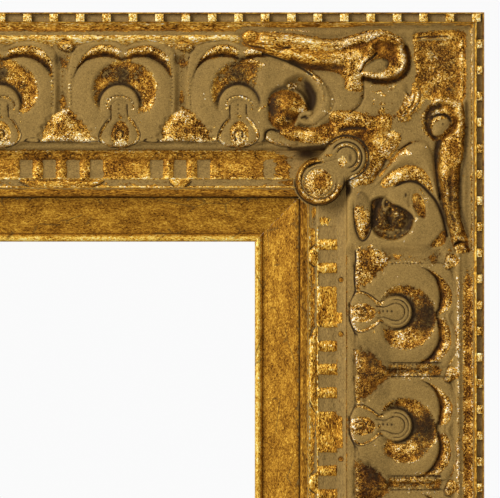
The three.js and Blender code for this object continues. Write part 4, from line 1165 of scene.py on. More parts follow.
def scroll_leaf(r):
    body = [
        (241, 40), (243, 34), (249, 30.6), (257, 31.6), (272, 33.2), (285, 33.6), (300, 35), (322, 39.2),
        (338, 41.2), (352, 37.2), (365, 33), (380, 32.2), (394, 36.6), (403, 46), (407, 58), (405, 69),
        (396, 76), (382, 79), (368, 77), (362.5, 80), (362, 90), (352, 91.5), (345, 88), (343, 77), (330, 71.5),
        (312, 70), (300, 66.5), (288, 61.5), (275, 57), (262, 53), (250, 49.5), (243, 45.5),
    ]
    inside = r.lobe(body, 43.9, edge=3.5, crown=2.4, reach=12, **gilt(0.12))
    r.drawn = np.where((inside > 0.5) & (r.x < 330 + 8 * np.sin(r.y * 0.9)), 0.75, r.drawn)
    ridge = [
        (264, 39), (285, 39.6), (305, 42), (325, 45.4), (340, 45.4), (355, 41), (370, 37.4), (385, 37.6),
        (397, 43.5),
    ]
    # Painted highlight along the ridge
    r.roll(ridge, 5.6, 45.3, 2.0, edge=4, taper=(0.8, 0.9), **gilt(0.36))
    r.groove([(275, 46), (300, 49.5), (325, 52.5), (345, 50), (362, 45)], 2.4, 0.7, dark=0.34)
    # Veins, each with a painted highlight along its raised side
    for path in (
        [(268, 36.5), (285, 37), (302, 40)], [(282, 43.5), (300, 44.5), (318, 48)],
        [(272, 48), (290, 52), (306, 54)], [(308, 44), (326, 47), (342, 46)],
    ):
        r.groove(path, 1.1, 0.35, dark=0.5, shine=0.1)
        r.groove(shifted(path, 2, 2.2), 1.2, -0.3, dark=0.0, shine=0.5)
    r.roll([(284, 54), (305, 57), (325, 58.5), (342, 57)], 4.0, 45.0, 0.9, edge=3.0, gold=0.9, dark=0.04)
    # Painted shade on the leaf's underside
    under, _ = line_distance(r.x, r.y, curve([(292, 61.5), (306, 66), (322, 68), (342, 67.5)]))
    r.paint(soft(under, 4.6) * 0.9, dark=0.66, shine=-0.3)
    r.h -= 1.2 * soft(under, 4.2)
    r.dome(250, 36.4, 8, 6.2, 44.8, 1.9, gold=1.0, dark=0.05, shine=0.0, edge=2)
    curl = smoothstep(272, 258, r.x) * smoothstep(41, 45, r.y) * smoothstep(-1, 1.5, inside)
    r.paint(curl, dark=0.3, shine=-0.25)
    r.groove([(241.5, 38), (244, 43), (252, 46.4), (264, 48.4)], 1.0, 0.7, dark=0.75)
    for path in (
        [(257, 34.8), (264, 35.2), (272, 35.6)], [(258, 40.6), (264, 40.6), (272, 40.8)],
        [(250, 42), (262, 44.6), (274, 45)],
    ):
        r.groove(path, 0.9, 0.6, dark=0.6, gold=0.5)
        r.groove(shifted(path, 0, 1.7), 0.8, -0.2, **gilt(0.6))
    r.groove([(278, 52), (283, 49), (290, 47)], 1.4, 0.8, dark=0.7)
    r.groove(
        [(238, 46), (250, 51.5), (264, 54.4), (278, 58.6), (292, 63.8), (304, 70), (312, 75.5)], 1.2, 1.1,
        stain_and_shade=1.3, dark=0.9, gold=0.3,
    )
    volute = [
        (362, 66), (364, 52), (371, 41), (383, 35.4), (396, 39.6), (404, 51), (405.5, 64), (398, 73.5),
        (384, 78), (370, 76), (363, 72),
    ]
    r.lobe(volute, 45.4, edge=3, crown=1.7, reach=5, **gilt(-0.1))
    r.paint(glow(r.x, r.y, 360, 47.5, 16, 6) * 0.9, shine=-0.25, dark=0.1)
    hollow = smoothstep(1, 0.55, r.oval(386, 51, 18, 12, 0.5))
    r.cut(hollow, 1.7, gold=1.0, dark=0.2, shine=-0.38)
    r.lobe(
        [(363, 71), (367, 64.5), (376, 59.5), (384, 59), (388, 63), (384.5, 70), (376, 74), (367, 74)], 45.4,
        edge=2, crown=0.8, reach=5, gold=0.02, dark=0.0,
    )
    r.groove([(383, 59.4), (388, 62.4), (386.5, 69)], 1.0, 0.8, dark=0.8)
    r.groove([(360.5, 72), (363, 66), (367, 61.5), (372, 58), (376.5, 53.5)], 1.3, 1.4, dark=0.92, gold=0.3)
    # Painted highlight on the slit's left edge
    r.roll([(360, 68), (363.5, 61.5), (369, 57)], 1.4, 46.2, 0.8, edge=1.2, **gilt(0.4))
    r.roll(
        [(403.5, 57), (402.5, 66), (394.5, 73.2), (382, 76.6), (367, 74.8)], 2.2, 46.0, 1.2, edge=1.5,
        **gilt(-0.1),
    )
    shadow = [(364, 78.5), (376, 82), (390, 82), (401, 78), (408, 69.5), (409, 57), (406, 47)]
    r.groove(shadow, 2.8, 1.6, stain_and_shade=3.0, taper=(0.8, 0.8), dark=0.62, gold=0.8)
    r.groove(
        [(363, 77), (363.8, 88), (363, 98), (359, 106), (350, 113)], 0.9, 0.6, stain_and_shade=0.9, dark=0.7, gold=0.4,
    )
    line = dotted([(361.6, 84), (361.8, 92), (361, 99), (357, 105.5), (349, 111.6)], r.x, r.y, 5.0, 1.0)
    r.paint(line, **gilt(0.5))
    return inside


print("scroll leaf drawn")

# %% [markdown]
# ## Cup and ball
#
# Left of the mitre a smooth cup curls round a ball, and a leaf's tip creeps out below. The cup's hollow
# could be cut with a boolean; in a relief it is a lowered lobe with a dark floor, which keeps the sheet
# in one piece. The ball is a crowned lobe with stains, because it isn't quite round on the casting.

# %% Corner drawing: cup and ball


def cup_and_ball(r):
    x, y = r.x, r.y
    cup = [
        (245, 58), (262, 60), (282, 64), (300, 70), (314, 80), (322, 96), (318, 112), (305, 122), (290, 130),
        (270, 131), (258, 118), (252, 95), (250, 75),
    ]
    r.lobe(cup, 43.9, edge=6, crown=0.6, reach=10, **GLAZE)
    band = [(290, 66), (302, 72), (314, 81), (322, 90), (326, 101), (323, 111), (314, 119)]
    r.roll(band, 6.0, 44.3, 1.0, edge=3.0, taper=(0.7, 0.8), **GLAZE)
    r.roll([(307, 71.5), (313, 75.6), (319.5, 81)], 1.8, 44.4, 0.8, edge=2, gold=1.0, dark=0.2)
    for path, pitch in (
        ([(308, 71), (316, 77), (324.5, 85.5), (330, 93), (332.5, 102), (330, 110), (325, 115.5)], 4.6),
        ([(319, 84), (322.8, 92), (323, 102)], 4.0),
    ):
        line = dotted(path, x, y, pitch, 1.1)
        r.cut(line, -0.3, **gilt(0.4))
        r.groove(shifted(path, 1.8, -0.8), 0.8, 0.4, dark=0.5)
    recess = [
        (286, 84), (294, 77), (304, 76), (312, 82), (318, 92), (319, 101), (316, 110), (310, 115.5), (305, 110),
        (305, 99), (298, 90),
    ]
    d = r.lobe(recess, 41.4, edge=7, gold=0.04, dark=0.25)
    r.h -= 2.2 * smoothstep(0, 8, d)
    r.paint(smoothstep(-1, 6, d) * smoothstep(298, 309, x), dark=0.95)
    # Painted shadow above the ball
    above = glow(x, y, 283, 88, 16, 5)
    r.paint(above * 0.9, dark=0.42)
    beside = glow(x, y, 265, 108, 4, 14)
    r.paint(beside * 0.8, dark=0.5)
    moat = soft(np.hypot(x - 287, y - 109) - 21.5, 3.0) * smoothstep(136, 118, y)
    r.h -= 1.0 * moat
    r.paint(moat * 0.9, dark=0.75, gold=0.25)
    ball = [
        (268, 110), (269, 99), (276, 92), (288, 90), (298, 94), (304, 102), (308, 110), (304, 115), (297, 120),
        (292, 127), (280, 129), (271, 124),
    ]
    inner = smoothstep(0, 3, r.lobe(ball, 42.2, edge=3, crown=3.6, reach=16, gold=1.0, dark=0.24, shine=-0.3))
    r.paint(glow(x, y, 273, 106, 8, 15) * inner * 0.9, dark=0.74)
    r.paint(glow(x, y, 288, 119, 4, 7) * inner * 0.8, dark=0.7)
    r.paint(glow(x, y, 288, 92.5, 12, 3) * inner * 0.7, dark=0.5)
    # Painted highlight on the ball's right side
    r.spot(302, 110.5, 5, 3.4, 1.0, shine=0.4, dark=0.0)
    r.spot(279, 121, 5, 4, 0.9, shine=0.2, dark=0.05)
    # Painted glints on the cup above the ball
    for path in (
        [(288, 86), (290.5, 83.8), (294, 84.4), (296, 86.6)], [(289.6, 88), (292.4, 87.2), (294.6, 88.2)],
    ):
        r.groove(path, 1.0, -0.5, gold=1.6, dark=0.0, shine=1.4)
    r.spot(299.5, 79, 2.4, 2.6, 0.9, gold=1.2, dark=0.0, shine=0.5)
    r.roll(
        [(282, 134), (296, 134), (312, 136), (327, 131)], 5.5, 42.9, 1.2, edge=4, gold=1.0, dark=0.2,
        shine=-0.15,
    )
    r.roll(
        [(322, 116.5), (314, 121.5), (306, 122.6), (300.5, 119.4), (303, 114.6), (310, 113.6)], 2.2, 43.3, 1.1,
        edge=1.4, gold=0.12, dark=0.0,
    )
    r.groove([(301.5, 118), (305.5, 116.4)], 1.2, 1.0, dark=0.85, gold=0.3)
    r.groove([(317, 124), (308, 126.4), (300, 125)], 1.0, 0.6, dark=0.5, gold=0.5)


def leaf_tip(r):
    """Tip of the leaf that lies under the ball and over the last shell's border."""
    tip = [
        (265, 136), (268, 131.4), (274, 130.4), (281, 134.6), (290, 140), (297, 144), (288, 145.2),
        (277, 143.4), (269, 140),
    ]
    r.lobe(tip, 42.9, edge=2.0, crown=0.9, reach=4, gold=0.3, dark=0.0)
    r.groove([(265, 138), (266, 132.4), (271, 129.6), (279, 131.4)], 1.3, 1.0, dark=0.92, gold=0.4)
    r.groove([(266.4, 137), (271, 141), (279, 144), (290, 145.4)], 1.1, -0.4, **gilt(0.6))
    r.groove([(265, 139.6), (271, 143.2), (280, 146.4), (291, 147.4)], 0.9, 0.5, dark=0.75, gold=0.4)


print("cup and ball drawn")

# %% [markdown]
# ## Column and volute
#
# On the upright a slim column hangs from a volute and ends in a button. Each is an outline with a
# crowned top, and deep soft grooves beside it, with painted shadow in them, part it from its ground.

# %% Corner drawing: column and volute


def column_and_volute(r):
    x, y = r.x, r.y
    column = [
        (438, 103), (446, 99.5), (456, 100), (463, 104), (464.5, 118), (464, 142), (461, 164), (459.5, 190),
        (461, 215), (466, 235), (468.5, 250), (465, 262), (454, 262), (450, 245), (447, 225), (442, 200),
        (440, 175), (439.5, 150), (442, 138), (450, 128), (449, 112),
    ]
    r.lobe(column, 44.0, edge=2.5, crown=2.2, reach=8, gold=1.0, dark=0.04, shine=-0.08)
    r.roll([(457, 106), (459.5, 120), (459.5, 142), (457, 160)], 3.0, 45.8, 0.7, edge=2.5, **gilt(-0.12))
    shaft = smoothstep(160, 185, y) * smoothstep(440, 445, x) * smoothstep(466, 460, x)
    r.paint(shaft * 0.85, dark=0.52, shine=-0.28)
    r.paint(window(y, 175, 190, 220, 234) * smoothstep(440, 444, x) * smoothstep(466, 460, x) * 0.5, gold=0.45)
    # Grooves with painted shadow on the column's left and right
    r.groove([(439, 139), (436, 155), (436, 178), (438.5, 196)], 3.4, 1.5, stain_and_shade=3.8, dark=0.80, gold=0.7)
    r.groove([(438.5, 196), (442, 210), (446, 226), (449, 244)], 2.2, 1.6, stain_and_shade=2.2, dark=0.84, gold=0.5)
    r.groove(
        [(466.5, 104), (467, 130), (464.5, 158), (461, 180), (461.5, 210), (468, 236)], 2.0, 0.8, stain_and_shade=2.0,
        dark=0.6, gold=0.2,
    )
    r.groove([(451, 170), (450.5, 190), (451.5, 212), (455, 226)], 1.8, 0.9, stain_and_shade=2.4, dark=0.55)
    r.dome(460, 252, 8.5, 9.5, 44.2, 1.8, gold=1.0, dark=0.42, edge=2)
    r.groove([(453, 246), (459, 242), (467, 242.4)], 1.0, 0.6, dark=0.8)
    r.paint(soft(np.hypot(x - 460.5, y - 250) - 4.6, 0.9), **gilt(0.4))
    volute = [
        (424, 112), (432, 104), (443, 100.6), (454, 103), (457, 116), (454, 130), (446, 137), (437, 140),
        (428, 135.5), (423, 124),
    ]
    r.lobe(volute, 43.6, edge=4, crown=1.4, reach=9, gold=0.9, dark=0.2)
    r.roll([(437, 103.5), (446, 101.4), (455, 105), (458, 112)], 4.0, 44.8, 1.4, edge=3, **gilt(-0.05))
    # Painted shade in the hollow of the volute
    r.groove(
        [(439, 105.5), (431, 110.5), (427.5, 119), (429, 130), (435, 137)], 4.2, 2.6, stain_and_shade=5.0,
        taper=(0.8, 0.7), dark=0.74, gold=0.85,
    )
    r.groove([(421.5, 112), (421.6, 124), (425, 134), (434, 140.5)], 0.9, -0.3, gold=0.7, dark=0.0)
    eye = [
        (432, 130), (434.5, 123.5), (440.5, 119.6), (447, 119.6), (449, 124), (444.5, 131), (438, 136),
        (433.4, 135),
    ]
    r.lobe(eye, 44.8, edge=2, crown=1.0, reach=6, gold=0.02, dark=0.0)
    r.groove([(431, 127), (434, 122.4), (440, 119)], 0.8, -0.3, **gilt(0.4))
    r.groove([(432, 117.6), (439, 114.8), (447, 116), (450.5, 121)], 1.5, 1.4, dark=0.92, gold=0.4)
    r.spot(442.5, 124, 1.6, 1.6, 0.9, dark=0.9)


print("column and volute drawn")

# %% [markdown]
# ## Half shell
#
# Below the mitre half a shell looks out of a hood: gold crescent, plain cushion, dark bowl with small
# lumps and a petal at its side. It is built up in the order in which the layers lie on each other. The
# flecks of leaf in the bowl are scattered with a seeded generator, so that every run draws the same.

# %% Corner drawing: half shell


def half_shell(r):
    x, y = r.x, r.y
    ground = [
        (358, 186), (374, 184), (386, 172), (400, 155), (414, 142.5), (426, 142.5), (432, 152), (435, 175),
        (438, 196), (447, 226), (454, 250), (458, 268), (347, 268), (347, 240), (347, 215), (349, 196),
    ]
    r.lobe(ground, 43.0, edge=3, crown=0.5, reach=10, gold=0.03, dark=0.0)
    hood = [
        (376, 184), (388, 168), (401, 152), (415, 142.4), (427, 143.4), (432, 156), (435, 180), (438, 197),
        (434, 194), (429, 180), (420, 168), (408, 163.5), (395, 168.5), (385, 178),
    ]
    r.lobe(hood, 43.9, edge=3, crown=1.5, reach=9, **GLAZE)
    r.groove(
        [(380, 176), (391, 162), (403, 148.5), (412, 142.4), (421, 140.6)], 1.3, 0.4, dark=0.2, gold=0.95,
        shine=0.2,
    )
    r.groove([(399, 150), (406, 145.4), (411, 143)], 1.0, 0.7, dark=0.85)
    r.spot(404, 152, 5.5, 4.5, 1.0, gold=0.95, shine=0.3)
    r.spot(393, 161, 4, 3.5, 0.9, gold=0.9, shine=0.2)
    r.spot(426, 147, 4, 2, 0.8, gold=0.8, dark=0.3)
    crescent = [
        (380, 184), (386, 176), (397, 169), (410, 165), (421, 168.6), (428.5, 177), (433.5, 192), (430, 191),
        (424, 185.5), (414, 180.6), (405, 181), (396, 186), (386, 188.5),
    ]
    r.lobe(crescent, 43.0, edge=3.5, crown=1.0, reach=6, gold=1.0, dark=0.06, shine=0.15)
    r.spot(410, 175, 6, 4, 0.7, dark=0.5)
    cushion = [
        (374, 191), (388, 187.5), (398, 184.6), (410, 183), (420, 186), (430, 196), (439, 211), (444, 232),
        (441, 244), (430, 250), (424, 268), (372, 268), (366, 240), (368, 210),
    ]
    r.lobe(cushion, 43.7, edge=3, crown=1.1, reach=14, gold=0.02, dark=0.0)
    brow = [
        (395, 187.5), (402, 183), (411, 181.4), (420, 184.4), (429, 193), (437, 203), (443, 218), (447, 236),
    ]
    r.groove(brow, 1.6, 1.2, stain_and_shade=1.7, dark=0.95, gold=0.3)
    r.groove([(430, 247.5), (437, 241), (443, 232)], 2.0, 1.0, stain_and_shade=2.2, dark=0.75, gold=0.9)
    hollow = [
        (370, 203), (377, 197.4), (386, 197), (393, 203), (402, 206), (409, 210.6), (413.5, 218), (412, 228),
        (405, 236), (394, 240.4), (383, 238.6), (375, 233.5), (371, 225), (369, 213),
    ]
    d = r.lobe(hollow, 41.6, edge=3, gold=0.75, dark=0.5)
    deep = smoothstep(0, 5, d)
    r.h -= 1.2 * deep * smoothstep(-14, 16, (x - 392) + 0.7 * (y - 217))
    # Painted shadow along the bowl's lower right
    r.paint(deep * soft(d - 4.5, 3.6) * smoothstep(-2, 12, 0.8 * (x - 394) + (y - 219)), dark=1.0, gold=0.1)
    r.paint(deep * 0.95, dark=0.66 + 0.2 * np.sin(x / 3.1 + y / 4.7) * np.sin(y / 2.9 - x / 6.1))
    r.dome(383, 219, 8.5, 12, 41.2, 1.5, turn=0.3, edge=4, power=0.8, gold=0.6, dark=0.55, shine=-0.2)
    r.dome(397, 217, 9, 9, 40.9, 1.5, turn=-0.5, edge=4, power=0.8, gold=0.6, dark=0.62, shine=-0.2)
    r.groove([(379, 203), (375, 212), (376, 223)], 1.8, 0.9, stain_and_shade=2.2, dark=0.9)
    r.groove([(390, 209), (389.4, 217), (390.4, 227)], 1.4, 0.9, stain_and_shade=1.6, dark=0.9)
    for px, py, rx, ry in (
        (377, 229.4, 3.2, 1.5), (383, 231.6, 2.4, 1.8), (389.5, 232.6, 3.6, 1.7), (397, 230, 2.8, 1.4),
        (388.4, 213, 1.0, 3.4),
    ):
        r.spot(px, py, rx, ry, 0.9, gold=0.15, dark=0.12)
    ridge = window(r.oval(386.2, 203.4, 3.8, 6.2, 0.15), 0.5, 0.75, 1.0, 1.25)
    r.h += 0.5 * ridge
    r.paint(ridge * 0.8, gold=0.05, dark=0.15)
    r.spot(386.2, 203.2, 1.7, 3.4, 1.0, dark=1.0, gold=0.1)
    flecks = np.random.default_rng(BOWL_SEED)
    for _ in range(46):
        px, py = flecks.uniform((371, 199), (410, 238))
        if r.h[np.argmin(np.abs(y[:, 0] - py)), np.argmin(np.abs(x[0] - px))] < 43.0:
            size = flecks.uniform(0.7, 1.1)
            r.spot(px, py, size, size, flecks.uniform(0.6, 1.0), **gilt(0.5))
    flap = [
        (386, 195), (391, 189), (400, 185.6), (410, 184), (417, 187.4), (415, 197), (411, 206), (413, 214),
        (407, 210.4), (400, 206), (392, 202.4),
    ]
    r.lobe(flap, 44.0, edge=1.6, crown=0.7, reach=7, gold=0.02, dark=0.0)
    r.groove([(388, 201.6), (394, 205.6), (402, 208.6), (409, 213), (413.6, 218.6)], 1.0, 0.5, dark=0.8)
    r.spot(405.5, 195, 1.7, 3.2, 0.95, dark=0.9)
    r.groove([(410.5, 192), (409, 200), (409.5, 207)], 1.2, 0.4, dark=0.3)
    patch_of_leaf = [
        (413, 195), (418, 193), (423, 200), (426, 211), (425, 218), (420, 217), (414.5, 210), (412.5, 203),
    ]
    r.lobe(patch_of_leaf, 43.5, edge=3, crown=0.5, reach=5, gold=0.85, dark=0.42, shine=-0.15)
    r.spot(423, 211, 2.4, 7, 0.9, dark=0.0, shine=0.1)
    r.groove([(420, 189), (424.5, 196), (427, 203)], 0.9, 0.3, gold=0.9, dark=0.0)
    # Painted glints
    for px, py in (
        (415.5, 221.5), (418, 225), (409.5, 234), (412.5, 232.5), (416, 219), (404, 241), (428, 198),
    ):
        r.spot(px, py, 1.6, 1.2, 1.0, gold=1.0, shine=0.5)
    petal = [
        (357, 192), (364, 191), (370, 199), (371, 213), (370.5, 228), (366, 238), (361, 239.5), (356.5, 230),
        (354.6, 214), (354.6, 200),
    ]
    d = r.lobe(petal, 43.2, edge=2.6, crown=0.9, reach=7, **GLAZE)
    within = smoothstep(-0.5, 2.0, d)
    r.paint(
        within, gold=np.interp(y, [194, 204, 214, 224], [0.12, 0.3, 0.62, 1.0]),
        dark=np.interp(y, [192, 204, 216, 228], [0.5, 0.4, 0.34, 0.2]), shine=-0.15,
    )
    lower = smoothstep(198, 212, y)
    r.paint(soft(d + 0.8, 1.1) * lower, dark=0.92, gold=0.3)
    r.h -= 0.9 * soft(d + 0.8, 1.3) * lower
    r.roll([(357.4, 210), (358, 219), (360.4, 229), (363, 235)], 2.2, 43.6, 0.8, edge=2.0, **gilt(0.15))
    r.groove([(366.5, 228), (370.5, 222), (371.4, 214)], 1.2, 0.5, dark=0.7)
    r.spot(363, 188, 5, 4, 0.8, dark=0.6)
    r.lobe(
        [(429, 247.5), (436, 238.5), (444.5, 230), (446, 240), (441, 246)], 43.2, edge=2, gold=0.9, dark=0.35,
    )
    r.groove([(359, 246), (376, 242.5), (395, 244), (418, 246.5), (432, 249.5)], 1.8, 0.4, dark=0.3, gold=0.1)
    r.spot(394, 253, 7, 3.4, 0.8, gold=0.85)
    # Painted shadow under the pendant, and on the plate to the pendant's left
    r.spot(347, 190, 6.5, 9, 1.0, dark=0.9, gold=0.2)
    lee_shade = smoothstep(143.5, 147.5, y + 0.1 * (x - 305)) * smoothstep(282, 290, x) * smoothstep(330, 322, x)
    r.paint(lee_shade, dark=0.72, gold=0.1)


print("half shell drawn")

# %% [markdown]
# ## Keyhole pendant
#
# The pendant hangs across the mitre over the frieze: a ring with a gold disc below and a second ring
# above, like a keyhole. Rings are distances to a middle, so lines at several radii make the turned
# steps. It stands on a lower floor than the plate, because it reaches past the plate's edge.

# %% Corner drawing: keyhole pendant
PENDANT_FLOOR, PENDANT_FACE, PENDANT_STEP = 33.6, 40, 0.8
PENDANT_STEM = [
    (306, 168), (314, 162), (322, 154), (328, 146.5), (336, 140), (346, 137.2), (357, 140), (364, 147),
    (367, 157), (365, 167), (358, 174), (347, 180), (341, 190), (322, 192), (306, 184),
]


def pendant(x, y):
    r = Relief(x, y, np.full(x.shape, 33.8))
    r.ground = 44.2
    ring = np.hypot(x - 319.5, y - 181)
    inside = r.lobe(PENDANT_STEM, 44.6, edge=2.4, crown=1.4, reach=6, gold=0.02, dark=0.0)
    mask = smoothstep(25.0, 21.6, ring)
    r.raise_to(np.maximum(r.h, 43.2 + 2.4 * np.sqrt(np.clip(1 - (ring / 26) ** 2, 0, 1))), mask)
    r.paint(mask, gold=0.02, dark=0.0)
    away = smoothstep(6, -10, 0.78 * (x - 331) - 0.62 * (y - 170))
    low = smoothstep(-8, 14, y - 181)
    r.h += 0.5 * soft(ring - 21.4, 2.2) * away
    r.paint(smoothstep(3.4, 2.4, np.abs(ring - 21.2)) * away, gold=1.0, dark=0.08, shine=-0.1)
    for radius, width, depth in ((18.0, 1.0, 0.9), (14.4, 0.8, 0.4)):
        r.cut(soft(ring - radius, width) * away, depth, dark=0.7, gold=0.3)
    r.paint(soft(ring - 16.2, 0.8) * away * (0.5 + 0.5 * low), **gilt(0.4))
    # Painted highlight along the lower part of the ring
    r.paint(soft(ring - 19.3, 0.8) * away * smoothstep(-12, 4, y - 186), **gilt(0.8))
    r.paint(soft(ring - 22.6, 0.7) * away * 0.7, dark=0.55)
    disc = np.hypot((x - 319) / 1.08, (y - 182) / 1.05)
    mask = smoothstep(14.0, 11.0, disc)
    r.raise_to(45.0 + 0.9 * np.sqrt(np.clip(1 - (disc / 16) ** 2, 0, 1)), mask)
    r.paint(mask, **gilt(0.2))
    # A bright ring round the disc, and a painted highlight on its upper left
    r.paint(soft(disc - 10.5, 2.2), shine=0.42)
    r.spot(316, 173.5, 8, 3, 0.9, shine=0.5)
    r.spot(320.5, 181, 7, 6, 1.0, dark=0.1, shine=-0.45)
    r.groove([(309, 167), (314.5, 164), (321, 162.6)], 1.1, 0.9, dark=0.9, gold=0.3)
    r.groove([(321, 162.6), (330, 161), (337, 159)], 0.8, 0.5, dark=0.45)
    head = np.hypot(x - 346.5, y - 157.5)
    toward = (-0.78 * (x - 346.5) + 0.62 * (y - 157.5)) / 20
    for radius, width, dark, gold, depth in (
        (20.0, 1.0, 0.8, 0.3, 0.7), (15.4, 1.1, 0.9, 0.3, 1.0), (10.6, 1.0, 0.85, 0.4, 0.8),
    ):
        r.cut(soft(head - radius, width) * smoothstep(0.5, 0.1, toward), depth, dark=dark, gold=gold)
    r.paint(soft(head - 12.6, 0.9) * smoothstep(0.3, -0.1, toward), gold=0.95, dark=0.05, shine=0.2)
    r.spot(342, 162, 4.6, 6.0, 1.0, **gilt(0.35))
    r.spot(350, 158, 3.0, 7.5, 0.9, dark=0.75)
    r.spot(329, 155.6, 5, 2.4, 0.9, gold=0.95)
    # Painted shadow round the ring's lower edge
    r.paint(soft(ring - 24.6, 1.2) * smoothstep(-16, 6, y - 181), dark=0.92, gold=0.2)
    return r, np.maximum(inside, 24.6 - ring) > -2.5


print("pendant drawn")

# %% [markdown]
# ## Four corners from one drawing
#
# The plate is an L with a wing where the leaf's tip lies over the last shell. The pendant hangs over
# the frieze, so it is a second closed body on top. A mirrored copy has its faces turned back outwards.

# %% Corner ornaments
LAST_ACROSS = EDGE_COLUMN - HALF["top"] + ACROSS_REACH
FIRST_UPRIGHT = EDGE_ROW + HALF["right"] - UPRIGHT_REACH
PLATE_LEFT, PLATE_INNER, PLATE_FOOT = LAST_ACROSS + END_CUT, 345.9, FIRST_UPRIGHT - UPRIGHT_PITCH / 2
PLATE_RIGHT = EDGE_COLUMN + EDGE_ROW - BAND_START
WING_LEFT, WING_GROUND, WING_FOOT, PLATE_STEP = 236.0, 44.6, 38, 0.95


def spread(*stops):
    """Even steps that meet every stop."""
    parts = [
        np.linspace(a, b, int(round((b - a) / PLATE_STEP)), endpoint=False) for a, b in zip(stops, stops[1:])
    ]
    return np.concatenate([*parts, [stops[-1]]])


x, y = np.meshgrid(
    spread(WING_LEFT, PLATE_LEFT, PLATE_INNER, PLATE_RIGHT), spread(BAND_START, BAND_END, PLATE_FOOT),
)
rng = np.random.default_rng(CORNER_SEED)
last_shell = draw_shell(x - LAST_ACROSS, y, ACROSS_PITCH, last=True)
next_shell = draw_shell(y - FIRST_UPRIGHT, EDGE_ROW + EDGE_COLUMN - x, UPRIGHT_PITCH, upright=True, first=True)
plate = corner_grounds(x, y)
cup_and_ball(plate)
column_and_volute(plate)
half_shell(plate)
plate.blend_in(last_shell, smoothstep(272, PLATE_LEFT, x))
plate.blend_in(next_shell, smoothstep(np.where(x > 446, 250, 242), PLATE_FOOT - 1, y) * smoothstep(340, 350, x))
leaf_tip(plate)
leaf_inside = scroll_leaf(plate)
round_pendant = inside_distance(x, y, curve(PENDANT_STEM, 6, True))
# Painted shadow round the pendant on the plate
plate.paint(soft(round_pendant + 1.6, 1.5), dark=0.78, gold=0.4)
stray_flecks(plate, rng, 60, (345, 60), (470, 262))
stray_flecks(plate, rng, 24, (275, 60), (345, 140))
stray_flecks(plate, rng, 30, (362, 82), (408, 118))
cast_grain(plate, rng, smoothstep(PLATE_LEFT, PLATE_LEFT + 4, x) * smoothstep(PLATE_FOOT, PLATE_FOOT - 4, y))
wing = x < PLATE_LEFT
plate.ground = np.where(wing, WING_GROUND, 0)
leaf_edge = smoothstep(-2.5, 0.5, leaf_inside)
plate.h = np.where(wing, WING_FOOT + (plate.h - WING_FOOT) * leaf_edge, plate.h)
kept = ((x >= PLATE_LEFT) & (y <= BAND_END)) | (x >= PLATE_INNER) | (wing & (leaf_inside > -3.5))
plate_mesh = closed_patch("corner plate", plate, kept, SHELL_FLOOR)

px, py = np.meshgrid(np.arange(290, 372, PENDANT_STEP), np.arange(136, 209, PENDANT_STEP))
drop, inside = pendant(px, py)
drop.h += (0.04 + 0.22 * drop.gold) * roughness_field(px.shape, 2.6, rng) * (drop.h > PENDANT_FACE)
drop_mesh = closed_patch("corner pendant", drop, inside, PENDANT_FLOOR)


def join_meshes(name, meshes):
    parts = [bpy.data.objects.new(mesh.name, mesh) for mesh in meshes]
    for part in parts:
        bpy.context.collection.objects.link(part)
    with bpy.context.temp_override(active_object=parts[0], selected_editable_objects=parts):
        bpy.ops.object.join()
    mesh = parts[0].data
    bpy.data.objects.remove(parts[0])
    mesh.name = name
    return mesh


corner_mesh = join_meshes("corner", [plate_mesh, drop_mesh])
for corner, (right, up) in CORNERS.items():
    mesh = corner_mesh.copy()
    dress(mesh, corner_gold)
    mesh.transform(Matrix.Translation((-EDGE_COLUMN * UNIT, 0, 0)))
    mirror = Matrix.Diagonal((right, up, 1, 1))
    upright = Matrix((RIGHTWARD, UPWARD, FRONT)).transposed().to_4x4()
    spot = Vector((right * FRAME_WIDTH / 2, RAIL_BACK, up * FRAME_HEIGHT / 2))
    mesh.transform(Matrix.Translation(spot) @ upright @ mirror)
    if right * up < 0:
        mesh.flip_normals()
    place_piece("corner " + corner, mesh, "corner_ornament_" + corner)
    print("corner", corner, len(mesh.polygons), "faces")

# %% [markdown]
# ## Fluted frieze
#
# Below the shells runs a gold frieze with short olive flutes in groups of three and four, gold bars
# between them, a tongue under each group and stippled gold between the groups. A tile is one group;
# two kinds alternate along the rail, and plain end pieces meet at the mitre.

# %% Frieze drawing
FRIEZE_START, FRIEZE_END, FRIEZE_FLOOR = 150.6, 187.8, 29.3
FRIEZE_GRID = np.linspace(FRIEZE_START, FRIEZE_END, 34)
TILE_COLUMNS, END_COLUMNS = 84, {LEVEL: 80, UPRIGHT: 140}
FLUTE_PITCH, FLUTE_HALF, CASTING_GAP = 23.5, 6.7, 0.2
FRIEZE_ROWS = [150, 151.5, 153, 158.5, 160, 178.5, 180, 186, 187.2, 188.5]
FRIEZE_HEIGHTS = [38.0, 37.0, 36.0, 34.6, 34.3, 34.2, 33.5, 33.3, 34.0, 33.6]


def frieze_ground(x, y, upright=False):
    r = Relief(x, y, np.interp(y, FRIEZE_ROWS, FRIEZE_HEIGHTS))
    r.drawn[:] = 1.0
    r.paint(np.ones(x.shape), gold=0.97, dark=0.05)
    r.paint(smoothstep(152.5, 151, y), gold=0.75, shine=0.25)
    r.paint(smoothstep(160, 157, y), shine=0.08)
    r.paint(smoothstep(178.6, 180.2, y), gold=0.34, dark=0.03)
    # Painted highlight along the arris at row 178.6
    r.cut(soft(y - 178.6, 0.9), -0.3, gold=1.6, dark=0.0, shine=0.9)
    r.paint(soft(y - 180.2, 0.8), gold=0.2, dark=0.3)
    # Painted highlight along the arris at row 187.2
    r.paint(soft(y - 187.2, 0.9), gold=1.6, dark=0.0, shine=0.9)
    r.paint(soft(y - 159.3, 1.1), dark=0.3)
    if upright:
        r.paint(smoothstep(161, 158.5, y), gold=0.2, dark=0.0, shine=0.0)
        r.paint(window(y, 180.5, 182, 186, 187), gold=0.62, dark=0.1)
    return r


